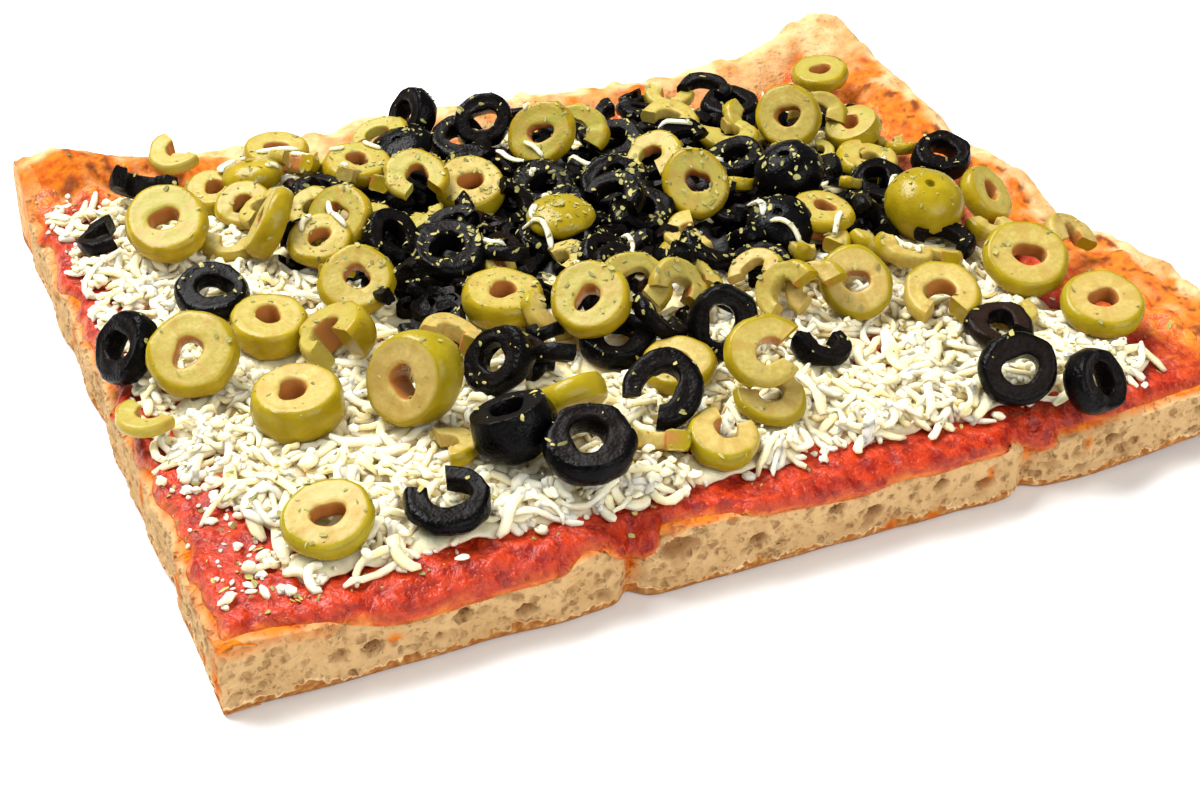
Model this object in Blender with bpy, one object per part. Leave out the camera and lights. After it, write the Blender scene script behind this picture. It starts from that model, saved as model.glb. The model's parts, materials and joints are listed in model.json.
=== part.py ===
"""A rectangular piece of pan pizza with sliced green and black olives.

The front and left sides are straight cuts through bread and sauce. The back and right sides
are the raised crust of the tray. All sizes below are millimetres from the front left bottom
corner of the bread: +X along the front cut, +Y to the back, +Z up. The finished model is in
metres, with its origin under the middle of the piece.
"""
import random
from math import atan2, cos, degrees, exp, pi, radians, sin

import bmesh
import bpy
from mathutils import Matrix, Vector, noise
from mathutils.bvhtree import BVHTree

MM = 0.001
GAP = 0.3                 # clear space between two pieces that touch
SEED = 7

# The slab
WIDTH = 264.0             # front cut, from the left cut to the right crust
DEPTH = 211.0             # left cut, from the front cut to the back crust
BREAD_HEIGHT = 15.0       # crumb under the sauce
RIM_START_X = 226.0       # foot of the slope up to the right crust
RIM_START_Y = 184.0       # foot of the slope up to the back crust
RIM_RUN_X = 24.0
RIM_RUN_Y = 17.0
EDGE_ROUND = 7.0          # how far in from the outer edge the crust starts to round off
CURL_HEIGHT = 6.5         # lift of the underside at the right end of the front cut
CURL_START = 196.0
CENTRE_X = 131.9          # middle of the whole piece, with what stands proud
CENTRE_Y = 104.6

# Heights read along the edges, as (distance along the edge, height)
BACK_CREST = ((0, 25), (12, 25), (36, 20.5), (76, 18.5), (100, 21.5), (142, 23.5),
              (190, 22), (218, 25), (235, 28), (250, 31.5), (264, 30))
RIGHT_CREST = ((0, 17.5), (30, 20.5), (54, 22), (86, 17.5), (108, 22.5), (134, 21.5),
               (146, 26), (165, 28), (180, 30), (211, 30))
FRONT_LIP = ((0, 16), (15, 15), (38, 12.6), (67, 12.8), (76, 14.5), (84, 11.5), (92, 14.2),
             (101, 15), (122, 14.6), (141, 13.6), (160, 14.8), (173, 14.8), (183, 12),
             (190, 11.9), (201, 12.8), (216, 13.4), (226, 14.8), (264, 15))
NOTCHES = ((84.0, 3.0, 2.6), (183.0, 2.6, 3.2))      # place along the front, depth, half width
CORNER_PUFF = (251.0, 199.0, 21.0, 4.5)              # centre, reach and height of the big blister
CORNER_BLISTER = (14.0, 197.0, 15.0, 3.0)            # the browned one at the back left

# Sauce and cheese
SAUCE_END_X = RIM_START_X + 18.0
SAUCE_END_Y = RIM_START_Y + 9.0
SAUCE_THICK = 1.7
CHEESE_START = (9.0, 9.5)
CHEESE_END = (224.0, 182.5)
CHEESE_THICK = 2.0
SHREDS = 24               # strips of cheese that stand out from the blanket
CHEESE_FLOOR = BREAD_HEIGHT + GAP + SAUCE_THICK + GAP
CHEESE_TOP = CHEESE_FLOOR + CHEESE_THICK

# Crumb holes at the cuts: (distance along the cut, height, half length, half height)
FRONT_HOLES = ((93.5, 10.6, 4.8, 2.3), (29, 6.5, 2.6, 1.6), (47, 8.5, 1.9, 1.5),
               (60, 5.5, 2.4, 1.6), (112, 7.5, 2.6, 1.5), (131, 10, 2.2, 1.4),
               (141, 6.2, 2.8, 1.7), (158, 9, 2.0, 1.5), (170, 6, 2.4, 1.6), (206, 8.5, 2.4, 1.5))
LEFT_HOLES = ((22, 8, 2.2, 1.6), (47, 6, 2.6, 1.7), (78, 9, 2.2, 1.6), (112, 6.5, 2.6, 1.7))
HOLE_DEPTH = 3.0

# The olives lie where the camera of the photo sees them. Their places were read on a grid
# at SIGHT_HEIGHT over the board, and move along the line of sight to their own height.
EYE = Vector((-44.8, -230.7, 211.5))
SIGHT_HEIGHT = 24.0
SIDES = 10
HEAP_SIDES = 7
MOST_RISE = 24            # steps of 0.4 mm that an olive may rise to find room
MOST_ASIDE = 8            # steps of 1 mm that it may move aside
PRESS_COST = 2.4          # rise worth taking so as not to press far into another
GREEN_HOLE = 0.31         # hole across as a share of the olive's width
BLACK_HOLE = 0.42
BARREL = 0.87             # cut face across as a share of the middle
HEAP_SINK = 1.2           # how far olives in the heap press into each other
CORE_SPOKES = 24
CORE_RINGS = 5
HEAP_CENTRE = (131.0, 122.0)
HEAP_REACH = ((0, 106), (12, 112), (22, 112), (36, 98), (49, 93), (65, 73), (90, 65), (115, 73),
              (134, 93), (145, 100), (155, 100), (168, 92), (180, 78), (195, 68), (215, 78),
              (229, 91), (240, 85), (252, 81), (270, 62), (290, 70), (294, 73), (310, 76),
              (328, 98), (338, 110), (348, 112), (360, 106))
HEAP_LOW = 2.2            # height of the bare core over the cheese

# Each olive: place x, y, height of what it lies on, width, thickness, tilt of its cut face,
# the way that face leans (degrees from +X), shape, and the way a gap opens
GREEN_APART = (
    (27, 19, 19, 17.8, 4.6, 18, 243, "ring", 0),
    (57, 33, 19, 14.0, 4.0, 6, 120, "half", 20),
    (88, 41, 20, 16.0, 5.5, 52, 95, "ring", 0),
    (116, 44, 19, 17.5, 4.4, 14, 200, "ring", 0),
    (110, 15, 19, 17.0, 4.6, 8, 243, "open", 330),
    (97, 20, 18, 15.5, 4.6, 40, 60, "half", 90),
    (137, 42, 23, 17.8, 4.2, 40, 250, "open", 270),
    (128, 25, 19, 15.5, 3.8, 26, 250, "open", 40),
    (4, 67, 18, 15.0, 3.6, 8, 60, "half", 240),
    (34, 61, 19, 20.2, 8.2, 5, 200, "ring", 0),
    (60, 61, 19, 20.8, 9.4, 68, 214, "ring", 0),
    (19, 89, 20, 20.0, 5.0, 38, 243, "ring", 0),
    (38, 95, 20, 18.5, 6.4, 8, 243, "ring", 0),
    (50, 84, 19, 18.6, 8.5, 30, 165, "open", 180),
    (63, 108, 20, 18.2, 5.0, 38, 243, "ring", 0),
    (29, 155, 20, 21.5, 6.0, 26, 243, "ring", 0),
    (42, 197, 21, 17.5, 4.5, 12, 225, "half", 230),
    (191, 47, 20, 20.0, 5.8, 20, 220, "open", 170),
    (222, 57, 21, 21.5, 5.6, 28, 243, "ring", 0),
    (240, 62, 22, 17.0, 4.2, 34, 300, "half", 120),
    (202, 37, 19, 15.0, 4.2, 12, 300, "half", 300),
    (225, 31, 20, 20.2, 5.4, 16, 235, "ring", 0),
    (175, 63, 20, 18.2, 5.0, 46, 238, "ring", 0),
    (243, 187, 27, 17.5, 4.6, 14, 200, "ring", 0),
)
BLACK_APART = (
    (50, 16, 19, 17.4, 4.4, 14, 243, "open", 35),
    (72, 33, 19, 17.6, 12.0, 22, 130, "cup", 0),
    (84, 23, 20, 18.6, 6.0, 18, 243, "ring", 0),
    (108, 37, 22, 18.6, 4.0, 32, 243, "open", 130),
    (134, 57, 20, 17.0, 6.0, 62, 245, "ring", 0),
    (151, 41, 19, 15.0, 5.5, 20, 300, "half", 300),
    (6, 97, 18, 16.5, 5.4, 58, 200, "ring", 0),
    (30, 115, 19, 17.4, 5.0, 16, 243, "ring", 0),
    (29, 181, 19, 18.5, 7.0, 40, 60, "half", 120),
    (14, 154, 19, 16.0, 4.5, 18, 160, "half", 200),
    (186, 14, 19, 17.4, 5.6, 48, 243, "ring", 0),
    (194, 31, 19, 16.5, 4.6, 8, 243, "open", 200),
    (199, 3, 17, 16.2, 5.6, 56, 285, "ring", 0),
    (241, 119, 20, 16.0, 6.5, 24, 243, "ring", 0),
)
GREEN_HEAP = (
    (45, 168, 20, 17, 5, 10, 243, "ring", 0), (57, 177, 22, 17, 7, 14, 120, "end", 0),
    (67, 188, 21, 18, 4.6, 6, 243, "ring", 0), (85, 172, 23, 19, 4.6, 8, 243, "ring", 0),
    (97, 188, 22, 17, 4.6, 20, 200, "half", 100), (70, 142, 21, 18, 4.6, 46, 215, "ring", 0),
    (53, 146, 20, 18, 6, 62, 160, "ring", 0), (41, 139, 19, 15, 4.4, 12, 243, "half", 270),
    (84, 137, 21, 16, 5, 12, 300, "half", 270), (92, 87, 22, 19.6, 6.5, 6, 243, "ring", 0),
    (100, 76, 20, 16, 4.6, 30, 300, "half", 260), (111, 79, 23, 19, 5.2, 34, 225, "ring", 0),
    (124, 82, 21, 18, 5.2, 48, 250, "half", 60), (132, 75, 20, 17, 5, 50, 280, "half", 90),
    (157, 65, 19, 17, 5, 58, 200, "half", 120), (164, 63, 19, 16, 5, 50, 210, "half", 120),
    (189, 100, 27, 17, 3.8, 6, 243, "ring", 0), (178, 86, 22, 18, 4.6, 12, 243, "open", 200),
    (192, 80, 20, 16, 4.6, 24, 330, "half", 300), (220, 97, 22, 21, 12, 20, 243, "end", 0),
    (237, 93, 20, 17, 5, 40, 300, "ring", 0), (226, 77, 20, 15, 4.6, 10, 320, "half", 300),
    (218, 122, 20, 17, 5, 14, 243, "half", 30), (97, 159, 26, 18, 3.4, 22, 243, "open", 190),
    (108, 147, 21, 19, 7, 22, 250, "ring", 0), (88, 135, 20, 17, 5, 18, 200, "half", 280),
    (124, 124, 27, 17, 5.4, 10, 243, "end", 0), (141, 174, 22, 19, 5.4, 56, 225, "ring", 0),
    (151, 172, 22, 18, 5, 54, 235, "half", 60), (180, 170, 24, 19, 4.6, 10, 243, "half", 60),
    (163, 147, 24, 18, 3.8, 30, 200, "open", 150), (166, 128, 23, 18.6, 5, 50, 243, "ring", 0),
    (191, 154, 24, 18, 4.4, 8, 260, "open", 40), (151, 101, 20, 18, 5, 14, 200, "half", 200),
    (141, 88, 20, 15, 4.6, 16, 280, "half", 250), (215, 160, 23, 19, 6, 58, 225, "ring", 0),
    (223, 157, 22, 17, 5.4, 52, 235, "half", 80), (190, 188, 22, 16, 4.6, 18, 220, "half", 250),
    (220, 125, 22, 18, 4.2, 8, 243, "open", 330), (227, 143, 20, 17, 8, 26, 180, "cup", 0),
)
BLACK_HEAP = (
    (70, 157, 20, 16, 5, 10, 243, "ring", 0), (80, 61, 20, 16, 6, 50, 200, "ring", 0),
    (85, 63, 20, 16, 5, 16, 300, "half", 40), (93, 58, 19, 15, 5, 40, 60, "half", 200),
    (109, 59, 20, 17, 4.8, 14, 243, "ring", 0), (124, 65, 19, 16, 4.6, 16, 300, "half", 300),
    (206, 98, 21, 17, 5, 50, 330, "half", 100), (209, 74, 20, 16, 5, 16, 243, "half", 60),
    (213, 110, 20, 16, 5, 26, 240, "ring", 0), (110, 200, 22, 16, 6, 60, 190, "ring", 0),
    (100, 180, 22, 18, 6, 20, 200, "end", 0), (129, 189, 23, 16, 6, 52, 240, "ring", 0),
    (117, 177, 21, 18, 5, 16, 243, "ring", 0), (89, 114, 22, 19.5, 6, 12, 243, "ring", 0),
    (102, 108, 21, 16, 5, 30, 60, "half", 220), (116, 113, 22, 17, 4.6, 8, 243, "ring", 0),
    (126, 140, 22, 18, 5, 14, 243, "ring", 0), (167, 177, 22, 17, 5, 16, 230, "half", 220),
    (158, 160, 21, 17, 5.4, 22, 220, "ring", 0), (141, 128, 22, 18, 6, 26, 200, "half", 60),
    (144, 117, 21, 17, 5, 16, 250, "ring", 0), (136, 96, 20, 16, 5, 18, 180, "half", 200),
    (72, 81, 19, 16, 5, 16, 243, "half", 300), (201, 187, 23, 17, 5, 14, 220, "half", 60),
    (203, 174, 23, 17, 4.6, 10, 243, "ring", 0), (230, 161, 22, 16, 5, 12, 230, "half", 250),
    (195, 128, 24, 19, 11, 24, 200, "end", 0), (175, 99, 21, 18, 9, 26, 220, "end", 0),
    (168, 112, 21, 16, 5, 16, 250, "half", 180), (184, 138, 22, 17, 5.4, 16, 200, "ring", 0),
)


def smooth(t):
    """Rise gently from 0 to 1 while t goes from 0 to 1."""
    t = min(1.0, max(0.0, t))
    return t * t * (3.0 - 2.0 * t)


def along(pairs, at):
    """Read a height between the two nearest places of a list."""
    for (a, low), (b, high) in zip(pairs, pairs[1:]):
        if at <= b:
            return low + (high - low) * smooth((at - a) / (b - a))
    return pairs[-1][1]


def ripple(x, y, reach, layer=0.0):
    return noise.noise(Vector((x / reach, y / reach, layer)))


def dome(x, y, bump):
    """The height that a blister adds at a point."""
    cx, cy, reach, height = bump
    far = ((x - cx) ** 2 + (y - cy) ** 2) / reach ** 2
    return height * exp(-2.0 * far)


def notch(x):
    """How deep a pull in the front cut is at x, from 0 to 1, with its depth."""
    return sum(depth * exp(-((x - at) / half) ** 2) for at, depth, half in NOTCHES)


def bread_bottom(x, y):
    """The underside is flat, and curls up at the right end of the front cut."""
    return CURL_HEIGHT * smooth((x - CURL_START) / 80.0) * (1.0 - smooth(y / 95.0))


def bread_top(x, y):
    """Flat under the topping, with raised crust at the back and right."""
    back = smooth((y - RIM_START_Y) / RIM_RUN_Y) * (along(BACK_CREST, x) - BREAD_HEIGHT)
    right = smooth((x - RIM_START_X) / RIM_RUN_X) * (along(RIGHT_CREST, y) - BREAD_HEIGHT)
    rim = max(back, right) + 0.12 * min(back, right)
    bump = dome(x, y, CORNER_PUFF) + dome(x, y, CORNER_BLISTER)
    rough = 0.9 * ripple(x, y, 9.0) * smooth(rim / 6.0)
    edge = max((y - (DEPTH - EDGE_ROUND)) / EDGE_ROUND, (x - (WIDTH - EDGE_ROUND)) / EDGE_ROUND, 0.0)
    height = BREAD_HEIGHT + rim + rough + (bump if rim > 0.5 else 0.0)
    height -= edge ** 2 * 0.42 * (height - 4.0)
    lip = along(FRONT_LIP, x) - BREAD_HEIGHT
    height += lip * (1.0 - smooth(y / 5.0))
    height -= 0.8 * (1.0 - smooth(x / 3.0))
    return height


def lift_on_slope(x, y):
    """Extra clear space for the sauce where the bread's top isn't level."""
    slope_x = bread_top(x + 2, y) - bread_top(x - 2, y)
    slope_y = bread_top(x, y + 2) - bread_top(x, y - 2)
    return max(0.0, min(0.9, 0.9 * (abs(slope_x) + abs(slope_y) - 0.4)))


def sauce_thickness(x, y):
    """Even where the cheese hides it, lumpy in the bands that show."""
    shown = 1.0 - smooth(min(x, y, SAUCE_END_X - x, SAUCE_END_Y - y) / 8.5)
    lump = 0.9 * ripple(x, y, 6.0, 4.0) * shown
    thin = 0.9 * (1.0 - smooth(min(x, y, SAUCE_END_X - x, SAUCE_END_Y - y) / 2.5))
    return max(0.6, SAUCE_THICK + lump - thin)


def new_material(name, colour, roughness):
    material = bpy.data.materials.new(name)
    material.use_nodes = True
    shader = material.node_tree.nodes["Principled BSDF"]
    shader.inputs["Base Color"].default_value = (*colour, 1.0)
    shader.inputs["Roughness"].default_value = roughness
    shader.inputs["Metallic"].default_value = 0.0
    return material


def add_object(name, bm, collection, material=None):
    """Turn a shape in millimetres from the corner into an object in metres."""
    bmesh.ops.translate(bm, verts=bm.verts, vec=(-CENTRE_X, -CENTRE_Y, 0))
    bmesh.ops.scale(bm, verts=bm.verts, vec=(MM, MM, MM))
    mesh = bpy.data.meshes.new(name)
    bm.to_mesh(mesh)
    bm.free()
    item = bpy.data.objects.new(name, mesh)
    collection.objects.link(item)
    if material:
        mesh.materials.append(material)
    return item


def add_guide(name, bm, collection):
    """A shape used only to cut or join another."""
    item = add_object(name, bm, collection)
    item.hide_render = True
    item.display_type = "WIRE"
    return item


def box_cut_at(x_lines, y_lines, z_lines=()):
    """A box over the given lines, one unit high, cut at every line between its ends."""
    bm = bmesh.new()
    bmesh.ops.create_cube(bm, size=1.0)
    span = Vector((x_lines[-1] - x_lines[0], y_lines[-1] - y_lines[0], 1.0))
    bmesh.ops.scale(bm, verts=bm.verts, vec=span)
    bmesh.ops.translate(bm, verts=bm.verts, vec=Vector((x_lines[0], y_lines[0], 0)) + span / 2)
    cuts = [((x, 0, 0), (1, 0, 0)) for x in x_lines[1:-1]]
    cuts += [((0, y, 0), (0, 1, 0)) for y in y_lines[1:-1]]
    cuts += [((0, 0, z), (0, 0, 1)) for z in z_lines]
    for place, way in cuts:
        everything = bm.verts[:] + bm.edges[:] + bm.faces[:]
        bmesh.ops.bisect_plane(bm, geom=everything, plane_co=place, plane_no=way)
    return bm


def dissolve_flat(bm, height):
    """Join the faces that lie flat at one height into one."""
    flat = [f for f in bm.faces if all(abs(v.co.z - height) < 1e-4 for v in f.verts)]
    bmesh.ops.dissolve_faces(bm, faces=flat)


def grid_lines():
    """Lines that shape the slab: close at the cuts, notches and crust, wide in the middle."""
    x_lines = [0, 3, 7]
    x_lines += [17.0 * k for k in range(1, 13)]
    for at, _, half in NOTCHES:
        x_lines += [at - half, at, at + half]
    x_lines += [RIM_START_X + 6.0 * k for k in range(6)] + [259.5, WIDTH]
    y_lines = [0, 2, 5, 8] + [17.0 * k for k in range(1, 11)]
    y_lines += [RIM_START_Y + 4.5 * k for k in range(6)] + [DEPTH]
    return spread(x_lines), spread(y_lines)


def spread(lines):
    """Sort lines and drop those closer than 2 mm to the one before."""
    kept = []
    for line in sorted(lines):
        if not kept or line - kept[-1] >= 1.9:
            kept.append(line)
    return kept


def outline_shift(x, y, w):
    """The uneven outline of the slab, as a move of its side points."""
    left = 1.0 - smooth(x / 14.0)
    front = 1.0 - smooth(y / 10.0)
    right = smooth((x - 240.0) / 24.0)
    back = smooth((y - 190.0) / 21.0)
    bulge = sin(pi * min(1.0, w * 1.25))
    dx = left * 1.5 * ripple(0, y, 16.0, 1.0) + right * (2.4 * ripple(9, y, 17.0, 2.0) + 1.2 * bulge)
    dy = front * (1.0 * ripple(x, 0, 15.0, 3.0) + notch(x)) + back * (1.8 * ripple(x, 9, 17.0) + bulge)
    return dx, dy


def crumb_cutters(collection):
    """Egg-shaped hollows along the two cuts."""
    for index, (at, height, long, high) in enumerate(FRONT_HOLES):
        place = Vector((at, outline_shift(at, 0, 0.5)[1], height + bread_bottom(at, 0)))
        add_hollow(f"front_hole_{index}", place, (long, HOLE_DEPTH, high), collection)
    for index, (at, height, long, high) in enumerate(LEFT_HOLES):
        place = Vector((outline_shift(0, at, 0.5)[0], at, height))
        add_hollow(f"left_hole_{index}", place, (HOLE_DEPTH, long, high), collection)


def add_hollow(name, place, radii, collection):
    bm = bmesh.new()
    bmesh.ops.create_icosphere(bm, subdivisions=1, radius=1.0)
    bmesh.ops.scale(bm, verts=bm.verts, vec=radii)
    bmesh.ops.translate(bm, verts=bm.verts, vec=place)
    add_guide(name, bm, collection)


def add_boolean(item, operation, collection):
    """Cut or join an object with all that a collection holds, and empty the collection."""
    modifier = item.modifiers.new(operation.lower(), "BOOLEAN")
    modifier.operation = operation
    modifier.operand_type = "COLLECTION"
    modifier.collection = collection
    modifier.solver = "EXACT"
    bpy.context.view_layer.update()
    shaped = item.evaluated_get(bpy.context.evaluated_depsgraph_get())
    mesh = bpy.data.meshes.new_from_object(shaped)
    item.modifiers.clear()
    item.data = mesh
    for cutter in list(collection.objects):
        bpy.data.objects.remove(cutter)


def make_bread(parts, helpers, material):
    x_lines, y_lines = grid_lines()
    bm = box_cut_at(x_lines, y_lines, (0.35, 0.7))
    for vert in bm.verts:
        x, y, w = vert.co
        low = bread_bottom(x, y)
        top = bread_top(x, y)
        dx, dy = outline_shift(x, y, w)
        vert.co = (x + dx, y + dy, low + (top - low) * w)
    dissolve_flat(bm, 0.0)
    dissolve_flat(bm, BREAD_HEIGHT)
    bread = add_object("bread_base", bm, parts, material)
    crumb_cutters(helpers)
    add_boolean(bread, "DIFFERENCE", helpers)
    return bread


def make_sauce(parts, material):
    x_lines, y_lines = grid_lines()
    x_lines = [x for x in x_lines if x < SAUCE_END_X + GAP]
    y_lines = [y for y in y_lines if y < SAUCE_END_Y + GAP]
    bm = box_cut_at(x_lines, y_lines)
    for vert in bm.verts:
        x, y, w = vert.co
        dx, dy = outline_shift(x, y, 1.0)
        height = bread_top(x, y) + GAP + lift_on_slope(x, y) + sauce_thickness(x, y) * w
        vert.co = (x + dx, y + dy, height)
    dissolve_flat(bm, BREAD_HEIGHT + GAP)
    dissolve_flat(bm, BREAD_HEIGHT + GAP + SAUCE_THICK)
    return add_object("tomato_sauce", bm, parts, material)


def cheese_bed():
    """The grated cheese as one uneven blanket, flat where olives hide it."""
    count_x, count_y = 18, 13
    step_x = (CHEESE_END[0] - CHEESE_START[0]) / count_x
    step_y = (CHEESE_END[1] - CHEESE_START[1]) / count_y
    x_lines = [CHEESE_START[0] + step_x * k for k in range(count_x + 1)]
    y_lines = [CHEESE_START[1] + step_y * k for k in range(count_y + 1)]
    bm = box_cut_at(x_lines, y_lines)
    for vert in bm.verts:
        x, y, w = vert.co
        rim = min(x - x_lines[0], y - y_lines[0], x_lines[-1] - x, y_lines[-1] - y)
        edge = 1.0 - smooth(rim / 14.0)
        inward_x = 1.0 if x < WIDTH / 2 else -1.0
        inward_y = 1.0 if y < DEPTH / 2 else -1.0
        dx = 9.0 * abs(ripple(x, y, 9.0, 5.0)) * edge * inward_x
        dy = 9.0 * abs(ripple(x, y, 9.0, 6.0)) * edge * inward_y
        thick = CHEESE_THICK - 0.7 * edge
        if not in_heap(x, y):
            thick += 0.7 * ripple(x, y, 7.0, 7.0)
        vert.co = (x + dx, y + dy, CHEESE_FLOOR + thick * w)
    dissolve_flat(bm, CHEESE_FLOOR)
    dissolve_flat(bm, CHEESE_TOP)
    return bm


def in_heap(x, y, margin=0.0):
    """True inside the outline of the heap's core, or less than a margin outside it."""
    away = Vector((x - HEAP_CENTRE[0], y - HEAP_CENTRE[1])).length
    return heap_share(x, y) * (away - margin) < away


def shred(length, curl, arch):
    """One strip of grated cheese, bent to an arc and humped in the middle."""
    width, height, steps = 2.6, 2.0, 4
    lines = [length * k / steps for k in range(steps + 1)]
    bm = box_cut_at(lines, (-width / 2, width / 2))
    for vert in bm.verts:
        x, y, w = vert.co
        t = x / length - 0.5
        turn = curl * t
        middle = Vector((length * t, curl * length * 0.5 * t * t, 0))
        side = Vector((-sin(turn), cos(turn), 0)) * y * (1.0 - 0.5 * abs(t))
        vert.co = middle + side + Vector((0, 0, arch * (1.0 - 4.0 * t * t) + height * (w - 0.5)))
    return bm


def make_cheese(parts, helpers, olives, material):
    draw = random.Random(SEED)
    bed = cheese_bed()
    cheese = add_object("grated_cheese", bed, parts, material)
    placed = 0
    spots = []
    while placed < SHREDS:
        x = draw.uniform(CHEESE_START[0] + 4, CHEESE_END[0] - 5)
        y = draw.uniform(CHEESE_START[1] + 3, CHEESE_END[1] - 5)
        turn = draw.uniform(0, pi)
        length = draw.uniform(11, 19)
        curl = draw.uniform(-1.4, 1.4)
        near = any((x - a) ** 2 + (y - b) ** 2 < 7.0 ** 2 for a, b in spots)
        if near or in_heap(x, y, 5.0) or any(olive.covers(x, y, length) for olive in olives):
            continue
        spots.append((x, y))
        bm = shred(length, curl, draw.uniform(0.2, 0.9))
        place = Matrix.Translation((x, y, CHEESE_TOP + 0.2)) @ Matrix.Rotation(turn, 4, "Z")
        bmesh.ops.transform(bm, matrix=place, verts=bm.verts)
        add_guide(f"shred_{placed}", bm, helpers)
        placed += 1
    add_boolean(cheese, "UNION", helpers)
    return cheese


def spun(profile, sides, sweep=2 * pi):
    """A profile of (distance, height) points turned round the olive's long axis."""
    bm = bmesh.new()
    ring = [bm.verts.new((r, 0, z)) for r, z in profile]
    face = bm.faces.new(ring)
    start = -sweep / 2
    bmesh.ops.rotate(bm, verts=ring, cent=(0, 0, 0), matrix=Matrix.Rotation(start, 3, "Z"))
    closed = sweep > 6.28
    if closed:
        edges = face.edges[:]
        bm.faces.remove(face)
        geometry = ring + edges
    else:
        geometry = ring + face.edges[:] + [face]
    bmesh.ops.spin(bm, geom=geometry, cent=(0, 0, 0), axis=(0, 0, 1), angle=sweep, steps=sides)
    bmesh.ops.remove_doubles(bm, verts=bm.verts, dist=1e-4)
    bmesh.ops.recalc_face_normals(bm, faces=bm.faces)
    return bm


class Olive:
    """A cut olive with its size, its shape and the place where it comes to rest."""

    def __init__(self, row, colour, sides):
        self.x, self.y, self.support, self.width, self.thick = row[:5]
        self.tilt, self.toward, self.shape, self.opens = row[5:]
        self.colour = colour
        self.sides = sides
        self.height = self.start_height()
        self.aside = Vector((0.0, 0.0))

    def start_height(self):
        lean = radians(self.tilt)
        return self.support + 0.5 * self.thick * cos(lean) + 0.44 * self.width * sin(lean)

    def centre(self):
        """Its place on the line of sight, at its own height."""
        read = Vector((self.x, self.y, SIGHT_HEIGHT))
        share = (EYE.z - self.height) / (EYE.z - SIGHT_HEIGHT)
        return EYE + (read - EYE) * share + self.aside.to_3d()

    def matrix(self):
        """Turn the gap first, then tip the cut face, then move to the place."""
        toward = radians(self.toward)
        axis = Vector((-sin(toward), cos(toward), 0.0))
        tip = Matrix.Rotation(radians(self.tilt), 4, axis)
        turn = Matrix.Rotation(radians(self.opens) + pi, 4, "Z")
        return Matrix.Translation(self.centre()) @ tip @ turn

    def outline(self):
        """Half of the section, from the axis out."""
        r = self.width / 2
        h = self.thick / 2
        bore = r * (GREEN_HOLE if self.colour == "green" else BLACK_HOLE)
        face = r * BARREL
        if self.shape == "end":
            return ((0.01, -h), (face, -h), (r, -0.2 * h), (0.72 * r, 0.6 * h), (0.01, h))
        if self.shape == "cup":
            return ((0.01, -h), (0.62 * r, -0.75 * h), (r, 0.1 * h), (face, h), (bore, h),
                    (bore * 0.7, -0.1 * h), (0.01, -0.2 * h))
        if self.sides == HEAP_SIDES and self.shape == "half":
            return ((bore, -h), (r * 0.93, -h), (r * 0.97, h), (bore, h))
        return ((bore, -h), (face, -h), (r, 0), (face, h), (bore, h))

    def shape_mesh(self):
        sweep = {"half": pi * 1.15, "open": pi * 1.6}.get(self.shape, 2 * pi)
        sides = max(4, round(self.sides * sweep / (2 * pi)))
        return spun(self.outline(), sides, sweep)

    def placed(self, swell=0.0):
        bm = self.shape_mesh()
        if swell:
            bm.normal_update()
            moves = [v.normal * swell for v in bm.verts]
            for vert, move in zip(bm.verts, moves):
                vert.co += move
        bmesh.ops.transform(bm, matrix=self.matrix(), verts=bm.verts)
        return bm

    def covers(self, x, y, length):
        """True where a shred of this length would come near it."""
        at = self.centre()
        return (x - at.x) ** 2 + (y - at.y) ** 2 < (self.width * 0.5 + length * 0.42) ** 2

    def skin(self, swell=0.0):
        bm = self.placed(swell)
        tree = BVHTree.FromBMesh(bm)
        bm.free()
        return tree

    def near(self, others):
        here = self.centre()
        return [o for o in others if (o.centre() - here).length < 24.0]

    def crosses(self, bases, apart, pile):
        """True if it would cut a fixed piece, and whether it presses into the pile."""
        firm = self.skin(GAP + 0.08)
        hard = any(firm.overlap(o.tree) for o in self.near(apart))
        hard = hard or any(firm.overlap(base) for base in bases)
        soft = False
        if pile and not hard:
            pressed = self.skin(-HEAP_SINK)
            soft = any(pressed.overlap(o.tree) for o in self.near(pile))
        return hard, soft

    def settle(self, bases, apart, pile=()):
        """Find the nearest place, a little higher or aside, where it crosses nothing."""
        begin = self.height
        close = min(apart, key=lambda o: (o.centre() - self.centre()).length, default=self)
        away = (self.centre() - close.centre()).to_2d()
        away = away.normalized() if away.length > 0.1 else Vector((0.0, 0.0))
        moves = [(rise * 0.4, aside) for rise in range(MOST_RISE) for aside in range(MOST_ASIDE)]
        best = None
        for rise, aside in sorted(moves, key=lambda m: m[0] + 1.1 * m[1]):
            cost = rise + 1.1 * aside
            if best and cost >= best[0]:
                break
            self.height = begin + rise
            self.aside = away * aside
            hard, soft = self.crosses(bases, apart, pile)
            if hard:
                continue
            cost += PRESS_COST if soft else 0.0
            if best is None or cost < best[0]:
                best = (cost, rise, aside)
        if best is None:
            print("no room for", self.colour, self.x, self.y)
            return False
        self.height = begin + best[1]
        self.aside = away * best[2]
        self.tree = self.skin()
        return True

    def sink_to(self, trees, bases, apart):
        """Lower it until it presses into something that it is joined to."""
        for _ in range(30):
            if any(self.tree.overlap(tree) for tree in trees):
                return True
            self.height -= 0.3
            self.tree = self.skin()
            if self.crosses(bases, apart, ())[0]:
                break
        print("left out of the heap", self.colour, self.x, self.y, self.centre())
        return False


def tree_of(item):
    """The surface of an object, back in millimetres from the corner."""
    bm = bmesh.new()
    bm.from_mesh(item.data)
    bmesh.ops.scale(bm, verts=bm.verts, vec=(1 / MM,) * 3)
    bmesh.ops.translate(bm, verts=bm.verts, vec=(CENTRE_X, CENTRE_Y, 0))
    tree = BVHTree.FromBMesh(bm)
    bm.free()
    return tree


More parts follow.
